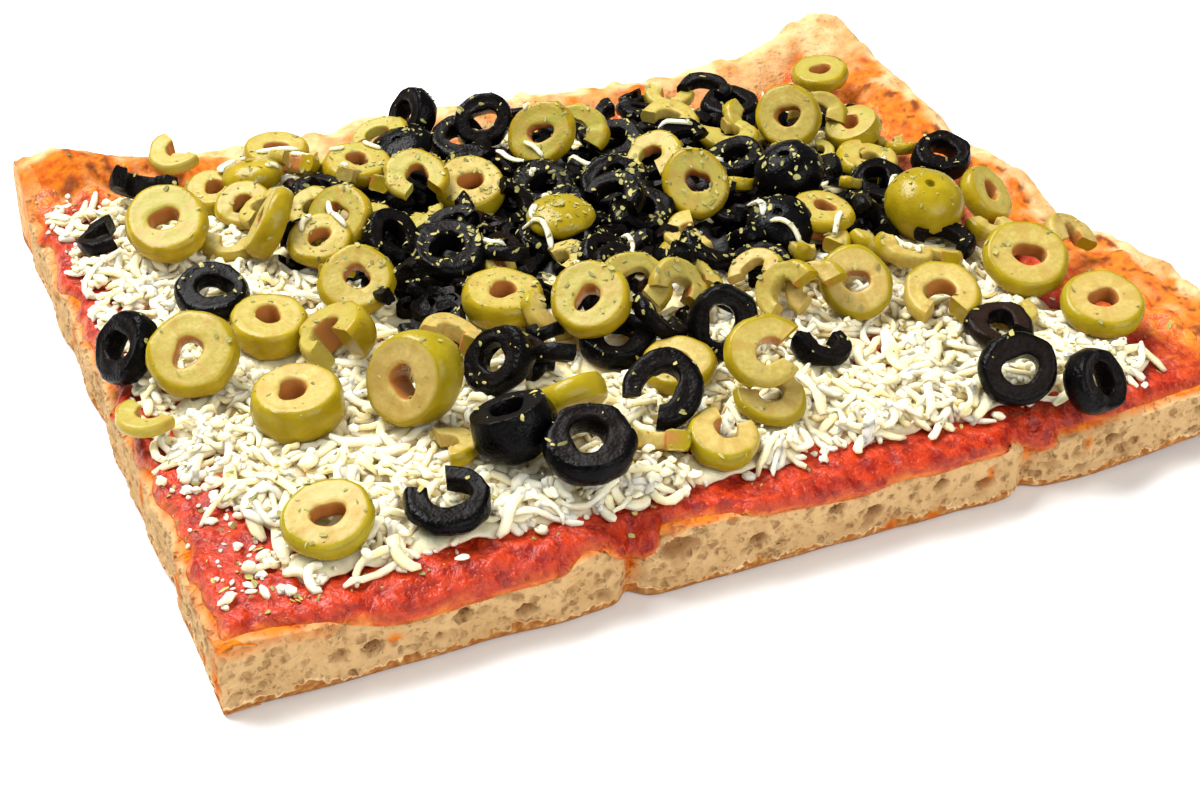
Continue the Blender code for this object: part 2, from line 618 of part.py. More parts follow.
def heap_core():
    """A low mound with an uneven outline, under and between the olives of the heap."""
    bm = bmesh.new()
    bmesh.ops.create_grid(bm, x_segments=CORE_SPOKES, y_segments=CORE_RINGS, size=0.5)
    for vert in bm.verts:
        around = 360.0 * (vert.co.x + 0.5)
        share = 1.0 - (vert.co.y + 0.5) * (1.0 - 1.0 / CORE_RINGS)
        reach = along(HEAP_REACH, around % 360.0) * share
        x = HEAP_CENTRE[0] + reach * cos(radians(around))
        y = HEAP_CENTRE[1] + reach * sin(radians(around))
        vert.co = (x, y, heap_floor(x, y))
    bmesh.ops.remove_doubles(bm, verts=bm.verts, dist=1e-3)
    bmesh.ops.holes_fill(bm, edges=[e for e in bm.edges if e.is_boundary and inner_edge(e)])
    grown = bmesh.ops.extrude_face_region(bm, geom=bm.faces[:])
    for item in grown["geom"]:
        if isinstance(item, bmesh.types.BMVert):
            item.co.z += core_height(item.co.x, item.co.y)
    bmesh.ops.recalc_face_normals(bm, faces=bm.faces)
    dissolve_flat(bm, CHEESE_TOP + 2 * GAP)
    return bm


def inner_edge(edge):
    middle = (edge.verts[0].co + edge.verts[1].co) / 2
    return (middle.to_2d() - Vector(HEAP_CENTRE)).length < 20.0


def heap_share(x, y):
    """How far out a point lies, from 0 in the middle of the heap to 1 at its outline."""
    away = Vector((x - HEAP_CENTRE[0], y - HEAP_CENTRE[1]))
    if away.length < 1e-6:
        return 0.0
    around = degrees(atan2(away.y, away.x)) % 360.0
    return away.length / along(HEAP_REACH, around)


def heap_floor(x, y):
    """Just over the cheese, or over the sauce where that climbs the crust."""
    sauce = bread_top(x, y) + GAP + lift_on_slope(x, y) + sauce_thickness(x, y)
    return max(CHEESE_TOP, sauce + 0.6) + 2 * GAP


def core_height(x, y):
    """Height of the mound over its floor: low at the outline, uneven in the middle."""
    full = HEAP_LOW + 1.3 * ripple(x, y, 14.0, 8.0)
    return max(0.8, full * (1.0 - 0.6 * smooth((heap_share(x, y) - 0.8) / 0.2)))


def round_post(olive, collection, index):
    """The room that an olive outside the heap keeps clear in the core."""
    bm = bmesh.new()
    radius = olive.width / 2 + 1.0
    bmesh.ops.create_cone(bm, cap_ends=True, segments=10, radius1=radius, radius2=radius, depth=30)
    bmesh.ops.translate(bm, verts=bm.verts, vec=olive.centre())
    add_guide(f"post_{index}", bm, collection)


def settle_all(bases):
    """Settle every olive in order: those apart first, then the heap from the bottom up."""
    apart = [Olive(row, "green", SIDES) for row in GREEN_APART]
    apart += [Olive(row, "black", SIDES) for row in BLACK_APART]
    heap = [Olive(row, "green", HEAP_SIDES) for row in GREEN_HEAP]
    heap += [Olive(row, "black", HEAP_SIDES) for row in BLACK_HEAP]
    done = []
    for olive in sorted(apart, key=lambda o: o.support):
        if olive.settle(bases, done):
            done.append(olive)
    core = heap_core()
    joined = [BVHTree.FromBMesh(core)]
    stacked = []
    for olive in sorted(heap, key=lambda o: o.support):
        if not olive.settle(bases, done, stacked):
            continue
        if olive.sink_to(joined, bases, done):
            stacked.append(olive)
            joined.append(olive.tree)
    return done, stacked, core


def make_heap(parts, helpers, apart, heap, core, material):
    mound = add_object("olive_heap", core, parts, material)
    for index, olive in enumerate(apart):
        if in_heap(olive.centre().x, olive.centre().y, olive.width / 2 + 1.5):
            round_post(olive, helpers, index)
    add_boolean(mound, "DIFFERENCE", helpers)
    for index, olive in enumerate(heap):
        add_guide(f"heap_{index}", olive.placed(), helpers)
    add_boolean(mound, "UNION", helpers)
    bm = bmesh.new()
    bm.from_mesh(mound.data)
    bmesh.ops.dissolve_limit(bm, angle_limit=radians(1.0), verts=bm.verts, edges=bm.edges)
    bm.to_mesh(mound.data)
    bm.free()


def main():
    for item in list(bpy.data.objects):
        bpy.data.objects.remove(item)
    scene = bpy.context.scene.collection
    parts = bpy.data.collections.new("olive_pizza")
    helpers = bpy.data.collections.new("helpers")
    scene.children.link(parts)
    scene.children.link(helpers)
    crumb = new_material("bread", (0.62, 0.42, 0.22), 0.8)
    sauce = new_material("sauce", (0.55, 0.05, 0.02), 0.3)
    cream = new_material("cheese", (0.85, 0.78, 0.55), 0.5)
    green = new_material("green_olive", (0.32, 0.28, 0.03), 0.35)
    black = new_material("black_olive", (0.01, 0.009, 0.012), 0.25)
    bread = make_bread(parts, helpers, crumb)
    make_sauce(parts, sauce)
    bed = add_guide("bed", cheese_bed(), helpers)
    bases = [tree_of(bread), tree_of(bpy.data.objects["tomato_sauce"]), tree_of(bed)]
    bpy.data.objects.remove(bed)
    apart, heap, core = settle_all(bases)
    make_cheese(parts, helpers, apart + heap, cream)
    counts = {"green": 0, "black": 0}
    for olive in apart:
        counts[olive.colour] += 1
        name = f"{olive.colour}_olive_{counts[olive.colour]:02d}"
        add_object(name, olive.placed(), parts, green if olive.colour == "green" else black)
    make_heap(parts, helpers, apart, heap, core, green)
    bpy.data.collections.remove(helpers)


main()
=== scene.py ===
# %% [markdown]
# # A piece of olive pizza
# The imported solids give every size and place. This lesson dresses them: crumb and crust for the
# bread, pulpy sauce, grated cheese, olive slices with skin, flesh and pit wall, and dried herbs.
# Each step first says what the real thing is, then which of Blender's tools shape it.

# %% Load the frame
import json
import random
from math import atan2, cos, degrees, exp, pi, radians, sin

import bpy
import numpy as np
from mathutils import Matrix, Vector, noise
from mathutils.bvhtree import BVHTree

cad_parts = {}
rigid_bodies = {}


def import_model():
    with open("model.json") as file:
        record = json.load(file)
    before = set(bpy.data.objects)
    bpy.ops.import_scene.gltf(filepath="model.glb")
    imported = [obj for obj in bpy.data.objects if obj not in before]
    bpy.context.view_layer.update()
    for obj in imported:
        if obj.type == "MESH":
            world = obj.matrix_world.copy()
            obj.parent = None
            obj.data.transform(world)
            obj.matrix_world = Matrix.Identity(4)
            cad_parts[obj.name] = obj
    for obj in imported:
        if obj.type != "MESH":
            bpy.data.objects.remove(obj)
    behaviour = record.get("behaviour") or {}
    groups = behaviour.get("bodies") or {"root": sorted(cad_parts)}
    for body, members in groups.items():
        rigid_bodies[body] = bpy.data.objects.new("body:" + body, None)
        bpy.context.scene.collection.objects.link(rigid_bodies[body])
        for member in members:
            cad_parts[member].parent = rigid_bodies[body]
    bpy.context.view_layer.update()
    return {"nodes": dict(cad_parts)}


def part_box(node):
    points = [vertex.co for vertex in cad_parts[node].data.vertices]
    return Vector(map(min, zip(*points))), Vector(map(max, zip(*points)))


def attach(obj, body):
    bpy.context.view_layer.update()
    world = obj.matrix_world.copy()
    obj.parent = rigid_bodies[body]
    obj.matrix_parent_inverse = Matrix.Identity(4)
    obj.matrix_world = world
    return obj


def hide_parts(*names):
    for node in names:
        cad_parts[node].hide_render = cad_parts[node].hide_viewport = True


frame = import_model()
nodes = frame["nodes"]

# %% [markdown]
# ## Sizes
# The slab was measured in millimetres from its front left bottom corner. The frame's origin is
# under the middle of the slab, so one pair of numbers leads from the first to the second.

# %% Driving sizes
MM = 0.001
GAP = 0.3
WIDTH = 264.0
DEPTH = 211.0
BREAD_HEIGHT = 15.0
RIM_START_X = 226.0
RIM_START_Y = 184.0
RIM_RUN_X = 24.0
RIM_RUN_Y = 17.0
EDGE_ROUND = 7.0
CURL_HEIGHT = 6.5
CURL_START = 196.0
CENTRE_X = 131.9
CENTRE_Y = 104.6
BACK_CREST = ((0, 25), (12, 25), (36, 20.5), (76, 18.5), (100, 21.5), (142, 23.5),
              (190, 22), (218, 25), (235, 28), (250, 31.5), (264, 30))
RIGHT_CREST = ((0, 17.5), (30, 20.5), (54, 22), (86, 17.5), (108, 22.5), (134, 21.5),
               (146, 26), (165, 28), (180, 30), (211, 30))
FRONT_LIP = ((0, 16), (15, 15), (38, 12.6), (67, 12.8), (76, 14.5), (84, 11.5), (92, 14.2),
             (101, 15), (122, 14.6), (141, 13.6), (160, 14.8), (173, 14.8), (183, 12),
             (190, 11.9), (201, 12.8), (216, 13.4), (226, 14.8), (264, 15))
NOTCHES = ((84.0, 3.0, 2.6), (183.0, 2.6, 3.2))
CORNER_PUFF = (251.0, 199.0, 21.0, 4.5)
CORNER_BLISTER = (14.0, 197.0, 15.0, 3.0)
SAUCE_END_X = RIM_START_X + 18.0
SAUCE_END_Y = RIM_START_Y + 9.0
SAUCE_THICK = 1.7
CHEESE_TOP = BREAD_HEIGHT + 2 * GAP + SAUCE_THICK + 2.0
EYE = Vector((-44.8, -230.7, 211.5))
SIGHT_HEIGHT = 24.0
CORNER = np.array((CENTRE_X, CENTRE_Y, 0.0))

# %% [markdown]
# ## The camera
# The photo was taken from the front left, a little above the table, with a 50 mm lens. Two turns
# aim the camera and a third gives its small lean, so they are put together as matrices.

# %% Camera
CAMERA_LENS = 49.93
CAMERA_HEADING = radians(-27.243)
CAMERA_DOWN = radians(31.836)
CAMERA_LEAN = radians(2.61)


def to_frame(point):
    """A place in millimetres from the slab's corner, in the frame's metres."""
    return Vector((point[0] - CENTRE_X, point[1] - CENTRE_Y, point[2])) * MM


bpy.ops.object.camera_add(location=to_frame(EYE))
camera = bpy.context.object
aim = Matrix.Rotation(CAMERA_HEADING, 3, "Z") @ Matrix.Rotation(pi / 2 - CAMERA_DOWN, 3, "X")
camera.rotation_mode = "QUATERNION"
camera.rotation_quaternion = (aim @ Matrix.Rotation(CAMERA_LEAN, 3, "Z")).to_quaternion()
camera.data.lens = CAMERA_LENS
camera.data.sensor_width = 36.0
camera.data.clip_start = 0.01
bpy.context.scene.camera = camera
print("camera at", [round(c, 3) for c in camera.location])

# %% [markdown]
# ## Helpers for shaping
# An operator acts on whatever is selected, so each step first clears the selection. Reading and
# writing all the points of a mesh at once with numpy keeps the larger surfaces quick.


# %% Selection and points
def start_fresh():
    if bpy.context.object and bpy.context.object.mode != "OBJECT":
        bpy.ops.object.mode_set(mode="OBJECT")
    bpy.ops.object.select_all(action="DESELECT")


def work_on(item):
    start_fresh()
    item.select_set(True)
    bpy.context.view_layer.objects.active = item


def points_of(mesh):
    flat = np.empty(len(mesh.vertices) * 3)
    mesh.vertices.foreach_get("co", flat)
    return flat.reshape(-1, 3)


def faces_of(mesh):
    return [tuple(polygon.vertices) for polygon in mesh.polygons]


def set_points(mesh, points):
    mesh.vertices.foreach_set("co", np.ascontiguousarray(points).ravel())
    mesh.update()


def place_in_frame(mesh, points):
    """Write points given in millimetres from the slab's corner."""
    set_points(mesh, (points - CORNER) * MM)


def from_corner(item):
    """An object's points in millimetres from the slab's corner."""
    return points_of(item.data) / MM + CORNER


def joined_tree(items):
    """The surfaces of several objects, in millimetres from the slab's corner."""
    points, faces, count = [], [], 0
    for item in items:
        here = from_corner(item)
        points += here.tolist()
        faces += [tuple(index + count for index in face) for face in faces_of(item.data)]
        count += len(here)
    return BVHTree.FromPolygons(points, faces)


def leave_outwards():
    """Point all faces outwards and leave edit mode."""
    bpy.ops.mesh.select_all(action="SELECT")
    bpy.ops.mesh.normals_make_consistent(inside=False)
    bpy.ops.object.mode_set(mode="OBJECT")


def apply(item, kind, **settings):
    work_on(item)
    modifier = item.modifiers.new(kind.lower(), kind)
    for key, value in settings.items():
        setattr(modifier, key, value)
    bpy.ops.object.modifier_apply(modifier=modifier.name)


def add_attribute(mesh, name, values):
    attribute = mesh.attributes.get(name) or mesh.attributes.new(name, "FLOAT", "POINT")
    attribute.data.foreach_set("value", np.asarray(values, dtype=np.float32))


def finish_piece(item, material, slot, *replaced):
    item.data.materials.clear()
    item.data.materials.append(material)
    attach(item, "root")
    if replaced:
        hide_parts(*replaced)
    item.data.calc_loop_triangles()
    print(item.name, len(item.data.loop_triangles), "triangles")


def grid_sheet(name, across, back):
    """A flat grid with its points from 0 to 1 both ways."""
    start_fresh()
    bpy.ops.mesh.primitive_grid_add(x_subdivisions=across, y_subdivisions=back, size=1.0,
                                    location=(0, 0, 0))
    item = bpy.context.object
    item.name = name
    item.data.name = name
    set_points(item.data, points_of(item.data) + np.array((0.5, 0.5, 0.0)))
    return item


# %% [markdown]
# ## The slab's form
# The slab is flat under the topping and rises to crust at the back and right. These are the same
# rules that shape the solids, so what is made here starts from their form.


# %% Form of the slab
def smooth(t):
    t = min(1.0, max(0.0, t))
    return t * t * (3.0 - 2.0 * t)


def smooth_all(values):
    t = np.clip(values, 0.0, 1.0)
    return t * t * (3.0 - 2.0 * t)


def along(pairs, at):
    for (a, low), (b, high) in zip(pairs, pairs[1:]):
        if at <= b:
            return low + (high - low) * smooth((at - a) / (b - a))
    return pairs[-1][1]


def ripple(x, y, reach, layer=0.0):
    return noise.noise(Vector((x / reach, y / reach, layer)))


def dome(x, y, bump):
    cx, cy, reach, height = bump
    return height * exp(-2.0 * ((x - cx) ** 2 + (y - cy) ** 2) / reach ** 2)


def notch(x):
    return sum(depth * exp(-((x - at) / half) ** 2) for at, depth, half in NOTCHES)


def bread_bottom(x, y):
    return CURL_HEIGHT * smooth((x - CURL_START) / 80.0) * (1.0 - smooth(y / 95.0))


def bread_top(x, y):
    back = smooth((y - RIM_START_Y) / RIM_RUN_Y) * (along(BACK_CREST, x) - BREAD_HEIGHT)
    right = smooth((x - RIM_START_X) / RIM_RUN_X) * (along(RIGHT_CREST, y) - BREAD_HEIGHT)
    rim = max(back, right) + 0.12 * min(back, right)
    bump = dome(x, y, CORNER_PUFF) + dome(x, y, CORNER_BLISTER)
    rough = 0.9 * ripple(x, y, 9.0) * smooth(rim / 6.0)
    edge = max((y - (DEPTH - EDGE_ROUND)) / EDGE_ROUND, (x - (WIDTH - EDGE_ROUND)) / EDGE_ROUND, 0.0)
    height = BREAD_HEIGHT + rim + rough + (bump if rim > 0.5 else 0.0)
    height -= edge ** 2 * 0.42 * (height - 4.0)
    lip = along(FRONT_LIP, x) - BREAD_HEIGHT
    height += lip * (1.0 - smooth(y / 5.0))
    height -= 0.8 * (1.0 - smooth(x / 3.0))
    return height


def outline_shift(x, y, w):
    left = 1.0 - smooth(x / 14.0)
    front = 1.0 - smooth(y / 10.0)
    right = smooth((x - 240.0) / 24.0)
    back = smooth((y - 190.0) / 21.0)
    bulge = sin(pi * min(1.0, w * 1.25))
    dx = left * 1.5 * ripple(0, y, 16.0, 1.0) + right * (2.4 * ripple(9, y, 17.0, 2.0) + 1.2 * bulge)
    dy = front * (1.0 * ripple(x, 0, 15.0, 3.0) + notch(x)) + back * (1.8 * ripple(x, 9, 17.0) + bulge)
    return dx, dy


# %% [markdown]
# ## Making materials
# Food has no flat colours. Each finish mixes a few tones by noise at the scale of the real grain,
# and lets small bumps catch the light. A short helper adds nodes and joins them.


# %% Node helpers
class Finish:
    """A material whose nodes are added and joined one after the other."""

    def __init__(self, name, roughness, **constants):
        self.material = bpy.data.materials.new(name)
        self.material.use_nodes = True
        self.tree = self.material.node_tree
        self.shader = self.tree.nodes["Principled BSDF"]
        self.shader.inputs["Roughness"].default_value = roughness
        for socket, value in constants.items():
            self.shader.inputs[socket.replace("_", " ")].default_value = value
        self.place = self.tree.nodes.new("ShaderNodeTexCoord").outputs["Object"]

    def add(self, kind, inputs=(), **settings):
        node = self.tree.nodes.new("ShaderNode" + kind)
        for key, value in settings.items():
            setattr(node, key, value)
        for socket, value in dict(inputs).items():
            self.feed(node.inputs[socket], value)
        return node

    def feed(self, socket, value):
        if isinstance(value, bpy.types.NodeSocket):
            self.tree.links.new(value, socket)
        elif isinstance(value, tuple) and len(value) == 3 and socket.type == "RGBA":
            socket.default_value = (*value, 1.0)
        else:
            socket.default_value = value

    def noise(self, size_mm, detail=3.0, warp=0.0):
        inputs = {"Vector": self.place, "Scale": 1000.0 / size_mm, "Detail": detail,
                  "Distortion": warp}
        return self.add("TexNoise", inputs).outputs["Fac"]

    def shaken(self, size_mm, reach_mm):
        """The place on the piece, moved about by noise so that round cells turn uneven."""
        inputs = {"Vector": self.place, "Scale": 1000.0 / size_mm, "Detail": 2.0}
        shake = self.add("TexNoise", inputs).outputs["Color"]
        inputs = {0: shake, 1: (reach_mm * MM,) * 3, 2: self.place}
        return self.add("VectorMath", inputs, operation="MULTIPLY_ADD").outputs["Vector"]

    def cells(self, size_mm):
        """0 at the middle of each uneven cell, rising outwards."""
        inputs = {"Vector": self.shaken(size_mm * 0.7, size_mm * 0.9), "Scale": 1000.0 / size_mm}
        return self.add("TexVoronoi", inputs).outputs["Distance"]

    def attribute(self, name):
        return self.add("Attribute", attribute_name=name).outputs["Fac"]

    def ramp(self, value, low, high, bottom=0.0, top=1.0):
        inputs = {"Value": value, "From Min": low, "From Max": high, "To Min": bottom, "To Max": top}
        return self.add("MapRange", inputs).outputs["Result"]

    def mix(self, factor, first, second, blend="MIX"):
        node = self.add("Mix", data_type="RGBA", blend_type=blend)
        self.feed(node.inputs[0], factor)
        self.feed(node.inputs[6], first)
        self.feed(node.inputs[7], second)
        return node.outputs[2]

    def math(self, operation, first, second=0.0):
        node = self.add("Math", operation=operation)
        self.feed(node.inputs[0], first)
        self.feed(node.inputs[1], second)
        return node.outputs[0]

    def bump(self, height, distance_mm, strength=1.0, under=None):
        inputs = {"Height": height, "Distance": distance_mm * MM, "Strength": strength}
        if under:
            inputs["Normal"] = under
        return self.add("Bump", inputs).outputs["Normal"]

    def finish(self, colour, normal=None, roughness=None):
        self.feed(self.shader.inputs["Base Color"], colour)
        if normal:
            self.feed(self.shader.inputs["Normal"], normal)
        if roughness:
            self.feed(self.shader.inputs["Roughness"], roughness)
        return self.material


# %% [markdown]
# ## Bread finish
# Inside, the crumb is a warm grey beige, with shade painted darker into its pores. The crust outside
# runs from cream where it puffed up pale, through tan, to orange where sauce baked on, with a few dark
# blisters.
# Three values are painted on the points: how baked they are, how stained, and how deep in a pore, which
# sets the painted shade.

# %% Bread material
CRUMB_PALE = (0.60, 0.39, 0.18)
CRUMB_TAN = (0.50, 0.30, 0.125)
# The colour of the shade painted inside the pores.
CRUMB_PORE_SHADE = (0.27, 0.13, 0.045)
CRUST_CREAM = (0.84, 0.59, 0.31)
CRUST_TAN = (0.60, 0.30, 0.09)
CRUST_BROWN = (0.33, 0.115, 0.025)
CRUST_GOLD = (0.46, 0.19, 0.04)
SAUCE_STAIN = (0.64, 0.165, 0.005)
STAIN_DEEP = (0.46, 0.07, 0.003)
CHAR = (0.12, 0.032, 0.012)


def bread_finish():
    finish = Finish("bread_crumb_and_crust", 0.78, Specular_IOR_Level=0.12)
    mottle = finish.noise(7.0, 4.0)
    grain = finish.noise(0.9, 3.0)
    pore = finish.attribute("pore")
    bake = finish.attribute("bake")
    stain = finish.attribute("stain")
    char = finish.attribute("char")
    blotch = finish.noise(2.4, 4.0)
    crumb = finish.mix(finish.ramp(mottle, 0.35, 0.7), CRUMB_PALE, CRUMB_TAN)
    crumb = finish.mix(finish.ramp(blotch, 0.56, 0.74, 0.0, 0.6), crumb, (0.42, 0.24, 0.09))
    # Pores, the modelled ones by their depth and small ones from cells, are painted darker as shade in
    # the hollows, besides their bumps.
    small = finish.ramp(finish.cells(3.4), 0.12, 0.36, 0.8, 0.0)
    tiny = finish.ramp(finish.cells(1.3), 0.12, 0.42, 0.5, 0.0)
    tiny = finish.math("MULTIPLY", tiny, finish.ramp(blotch, 0.42, 0.6))
    holes = finish.math("MAXIMUM", pore, finish.math("MAXIMUM", small, tiny))
    crumb = finish.mix(holes, crumb, CRUMB_PORE_SHADE)
    tan = finish.mix(finish.ramp(mottle, 0.4, 0.65), CRUST_CREAM, CRUST_TAN)
    baked = finish.mix(finish.ramp(bake, 0.15, 0.5), crumb, tan)
    baked = finish.mix(finish.ramp(bake, 0.55, 0.85, 0.0, 0.85), baked, CRUST_GOLD)
    freckle = finish.ramp(finish.math("ADD", bake, finish.math("MULTIPLY", grain, 0.5)), 1.0, 1.3)
    baked = finish.mix(freckle, baked, CRUST_BROWN)
    juice = finish.mix(finish.ramp(blotch, 0.4, 0.68), SAUCE_STAIN, STAIN_DEEP)
    stained = finish.mix(stain, baked, juice)
    colour = finish.mix(char, stained, CHAR)
    open_crumb = finish.ramp(bake, 0.2, 0.4, -1.0, 0.0)
    sunk = finish.math("MULTIPLY", finish.math("MAXIMUM", small, tiny), open_crumb)
    normal = finish.bump(blotch, 0.7, 0.7)
    normal = finish.bump(grain, 0.3, 0.7, normal)
    normal = finish.bump(sunk, 0.8, 0.9, normal)
    return finish.finish(colour, normal)


bread_material = bread_finish()

# %% [markdown]
# ## The body of the bread
# A grid gives the top. Its border edges are extruded down in steps for the sides, and the last
# loop is filled for the flat underside. Then each point moves to its place on the slab's form,
# with crust wrinkles added where the dough is bare.

# %% Bread body
BODY_STEP = 1.15
CUT_INSET = 3.2           # the two cut faces are finer pieces, set in front of the body
SIDE_ROWS = 9
TUCK = 0.7                # how far the top ducks under the lips of the cut faces


def select_open_edges():
    """Select the open edges of the sheet in edit mode."""
    bpy.ops.mesh.select_all(action="DESELECT")
    bpy.ops.mesh.select_mode(type="EDGE")
    bpy.ops.mesh.select_non_manifold(extend=False, use_wire=False, use_boundary=True,
                                     use_multi_face=False, use_non_contiguous=False,
                                     use_verts=False)


def bread_body():
    body = grid_sheet("bread_body", int(WIDTH / BODY_STEP), int(DEPTH / BODY_STEP))
    set_points(body.data, points_of(body.data) + np.array((0, 0, 1.0)))
    work_on(body)
    bpy.ops.object.mode_set(mode="EDIT")
    select_open_edges()
    for _ in range(SIDE_ROWS):
        bpy.ops.mesh.extrude_edges_move(TRANSFORM_OT_translate={"value": (0, 0, -1.0 / SIDE_ROWS)})
    bpy.ops.mesh.edge_face_add()
    leave_outwards()
    shape_body(body.data)
    return body


def end_fade(x, limit):
    """1 over most of a cut, 0 at the end where it meets the crust."""
    return smooth((limit - 13.0 - x) / 8.0)


def crust_wrinkle(x, y, z, rim):
    """Wrinkles and small blisters of bare crust, in millimetres."""
    fine = noise.noise(Vector((x, y, z)) / 2.2) * 0.42
    coarse = noise.noise(Vector((x + 40, y, z)) / 5.5) * 1.0
    blister = max(0.0, noise.noise(Vector((x, y + 70, z)) / 7.0) - 0.12) * 2.6
    return (fine + coarse + blister) * rim


def bareness(x, y):
    """0 under the topping, 1 on the bare crust."""
    return max(smooth((x - RIM_START_X - 4) / 14.0), smooth((y - RIM_START_Y - 4) / 10.0))


def crust_top(x, y):
    """The bread's upper surface with its wrinkles."""
    push = crust_wrinkle(x, y, 15.0, bareness(x, y))
    return bread_top(x, y) + push * smooth((WIDTH - x) / 6.0) * smooth((DEPTH - y) / 6.0)


def lip_share(at, length):
    """1 along a cut, near 0 where the cut runs into the crust."""
    return 0.12 + 0.88 * smooth((length - 9.0 - at) / 8.0)


def under_lip(inward, at, length):
    """How far the top ducks under the lip of a cut face."""
    return TUCK * (1.0 - smooth((inward - 3.0) / 3.0)) * (lip_share(at, length) - 0.12)


def shape_body(mesh):
    unit = points_of(mesh)
    out = np.empty_like(unit)
    tints = {"bake": [], "stain": [], "char": []}
    for index, (u, v, w) in enumerate(unit):
        x, y = u * WIDTH, v * DEPTH
        in_x = CUT_INSET * (1.0 - u) ** 6 * end_fade(y, DEPTH)
        in_y = CUT_INSET * (1.0 - v) ** 6 * end_fade(x, WIDTH)
        tuck = max(under_lip(x + in_x, y, DEPTH), under_lip(y + in_y, x, WIDTH))
        low, top = bread_bottom(x, y), bread_top(x + in_x, y + in_y) - tuck
        dx, dy = outline_shift(x, y, w)
        rim = bareness(x, y) * smooth(w * 4.0)
        z = low + (top - low) * w
        push = crust_wrinkle(x, y, 15.0 if w > 0.999 else z, rim)
        side = 1.0 if w < 0.999 else 0.35
        flat = smooth((WIDTH - x) / 6.0) * smooth((DEPTH - y) / 6.0)
        out[index] = (x + dx + in_x + push * side * (1 - smooth((WIDTH - x) / 6.0)),
                      y + dy + in_y + push * side * (1 - smooth((DEPTH - y) / 6.0)),
                      z + push * flat * (1.0 if w > 0.999 else 0.3))
        out[index][2] = max(out[index][2], 0.0)
        for name, value in crust_tints(x, y, z, w, (1.0 - w) * (top - low)).items():
            tints[name].append(value)
    place_in_frame(mesh, out)
    for name, values in tints.items():
        add_attribute(mesh, name, values)


def crust_tints(x, y, z, w, drop=0.0):
    """How baked, stained and charred the crust is at a point, which may lie down a side."""
    across, back = x + 1.1 * drop, y + 1.5 * drop
    lump = ripple(across, back, 10.0, 12.0)
    spot = ripple(across, back, 4.2, 13.0)
    speck = ripple(across, back, 2.4, 14.0)
    rim_x = smooth((x - RIM_START_X) / 14.0)
    rim_y = smooth((y - RIM_START_Y) / 9.0)
    bare = max(rim_x, rim_y)
    puff = exp(-((x - 252) ** 2 + (y - 198) ** 2) / 30.0 ** 2)
    left_corner = 1.0 - smooth((x - 38.0) / 26.0)
    bake = bare * (0.44 + 0.42 * lump + 0.2 * spot + 0.38 * left_corner * rim_y)
    bake = max(bake * (1.0 - 0.45 * puff), 0.3 * bare)
    bake += (0.36 + 0.5 * spot) * smooth((drop - 3.0) / 10.0) * bare
    if z < 1.6 and w < 0.2:
        bake = 0.85
    right = smooth((256.0 + 7.0 * lump + 2.0 * spot - x) / 5.0) * rim_x
    right *= 1.15 - 1.05 * smooth((y - 168.0) / 26.0)
    right = max(right, smooth((243.0 + 4 * lump - x) / 5.0) * rim_x * smooth((199.0 - y) / 8.0))
    strength = 0.35 + 0.6 * left_corner + 0.45 * smooth((x - 120.0) / 30.0) * smooth((215.0 - x) / 25.0)
    back = smooth((202.5 + 4.0 * lump + 2.0 * spot - y) / 4.5) * rim_y * strength
    back *= 1.0 - 0.7 * smooth((x - 222.0) / 14.0)
    patch = 0.95 + 0.7 * lump + 0.7 * spot
    stain = max(right, back) * patch
    edge = exp(-((x - 252.0 - 5 * lump) / 5.0) ** 2) * rim_x * (1 - smooth((y - 150) / 30.0))
    char = smooth((speck + 0.8 * spot - 0.34) / 0.16) * (0.55 * right + 0.75 * edge)
    char = max(char, smooth((speck + 0.8 * spot - 0.22) / 0.2) * back * left_corner * 0.85)
    return {"bake": bake, "stain": min(0.95, max(0.0, stain)), "char": min(0.85, char)}


bread = bread_body()
add_attribute(bread.data, "pore", np.zeros(len(bread.data.vertices)))
work_on(bread)
bpy.ops.object.shade_smooth_by_angle(angle=radians(60))
finish_piece(bread, bread_material, "bread", "bread_base")

# %% [markdown]
# ## The cut faces
# A knife leaves the crumb open: a skin of fine pores with larger hollows, some long and low where
# the dough was stretched. Each cut is a strip of fine grid, folded round the top and bottom edges
# of the bread. Every pore is an egg-shaped hollow that presses the points inwards.

# %% Cut faces
CUT_STEP = 0.5
FRONT_HOLES = ((93.5, 10.6, 5.0, 2.6), (29, 6.5, 2.6, 1.6), (47, 8.5, 1.9, 1.5),
               (60, 5.5, 2.4, 1.6), (112, 7.5, 2.6, 1.5), (131, 10, 2.2, 1.4),
               (141, 6.2, 2.8, 1.7), (158, 9, 2.0, 1.5), (170, 6, 2.4, 1.6), (206, 8.5, 2.4, 1.5))
LEFT_HOLES = ((22, 8, 2.2, 1.6), (47, 6, 2.6, 1.7), (78, 9, 2.2, 1.6), (112, 6.5, 2.6, 1.7))
SAUCE_DRIPS = ((84, 9, 1.5, 6.0), (146, 1.5, 1.8, 1.3), (157, 1.0, 1.6, 1.0), (171, 8, 1.0, 2.2),
               (183, 11, 2.0, 4.0), (198, 10, 0.8, 1.8), (33, 7.5, 1.4, 0.9))
LEFT_DRIPS = ((4, 5, 2.5, 5.0), (14, 3, 1.2, 1.5), (30, 9, 1.6, 4.0), (60, 11, 2.0, 3.0),
              (96, 8, 1.2, 3.0), (131, 11, 2.2, 2.5))
LIP = 7.0                 # how far the skin runs on under the sauce and under the slab


def pores(length, count, holes, seed):
    """Large hollows as listed and small ones by a seeded draw: place, height, radii, depth."""
    draw = random.Random(seed)
    rows = [(at, height, long, high, 2.9) for at, height, long, high in holes]
    for _ in range(count):
        size = 0.26 + 1.3 * draw.random() ** 6
        flat = draw.uniform(0.5, 1.0)
        rows.append((draw.uniform(0, length), draw.uniform(1.4, BREAD_HEIGHT - 0.8),
                     size * draw.uniform(0.9, 1.7), size * flat, size * draw.uniform(0.6, 1.2)))
    return np.array(rows)


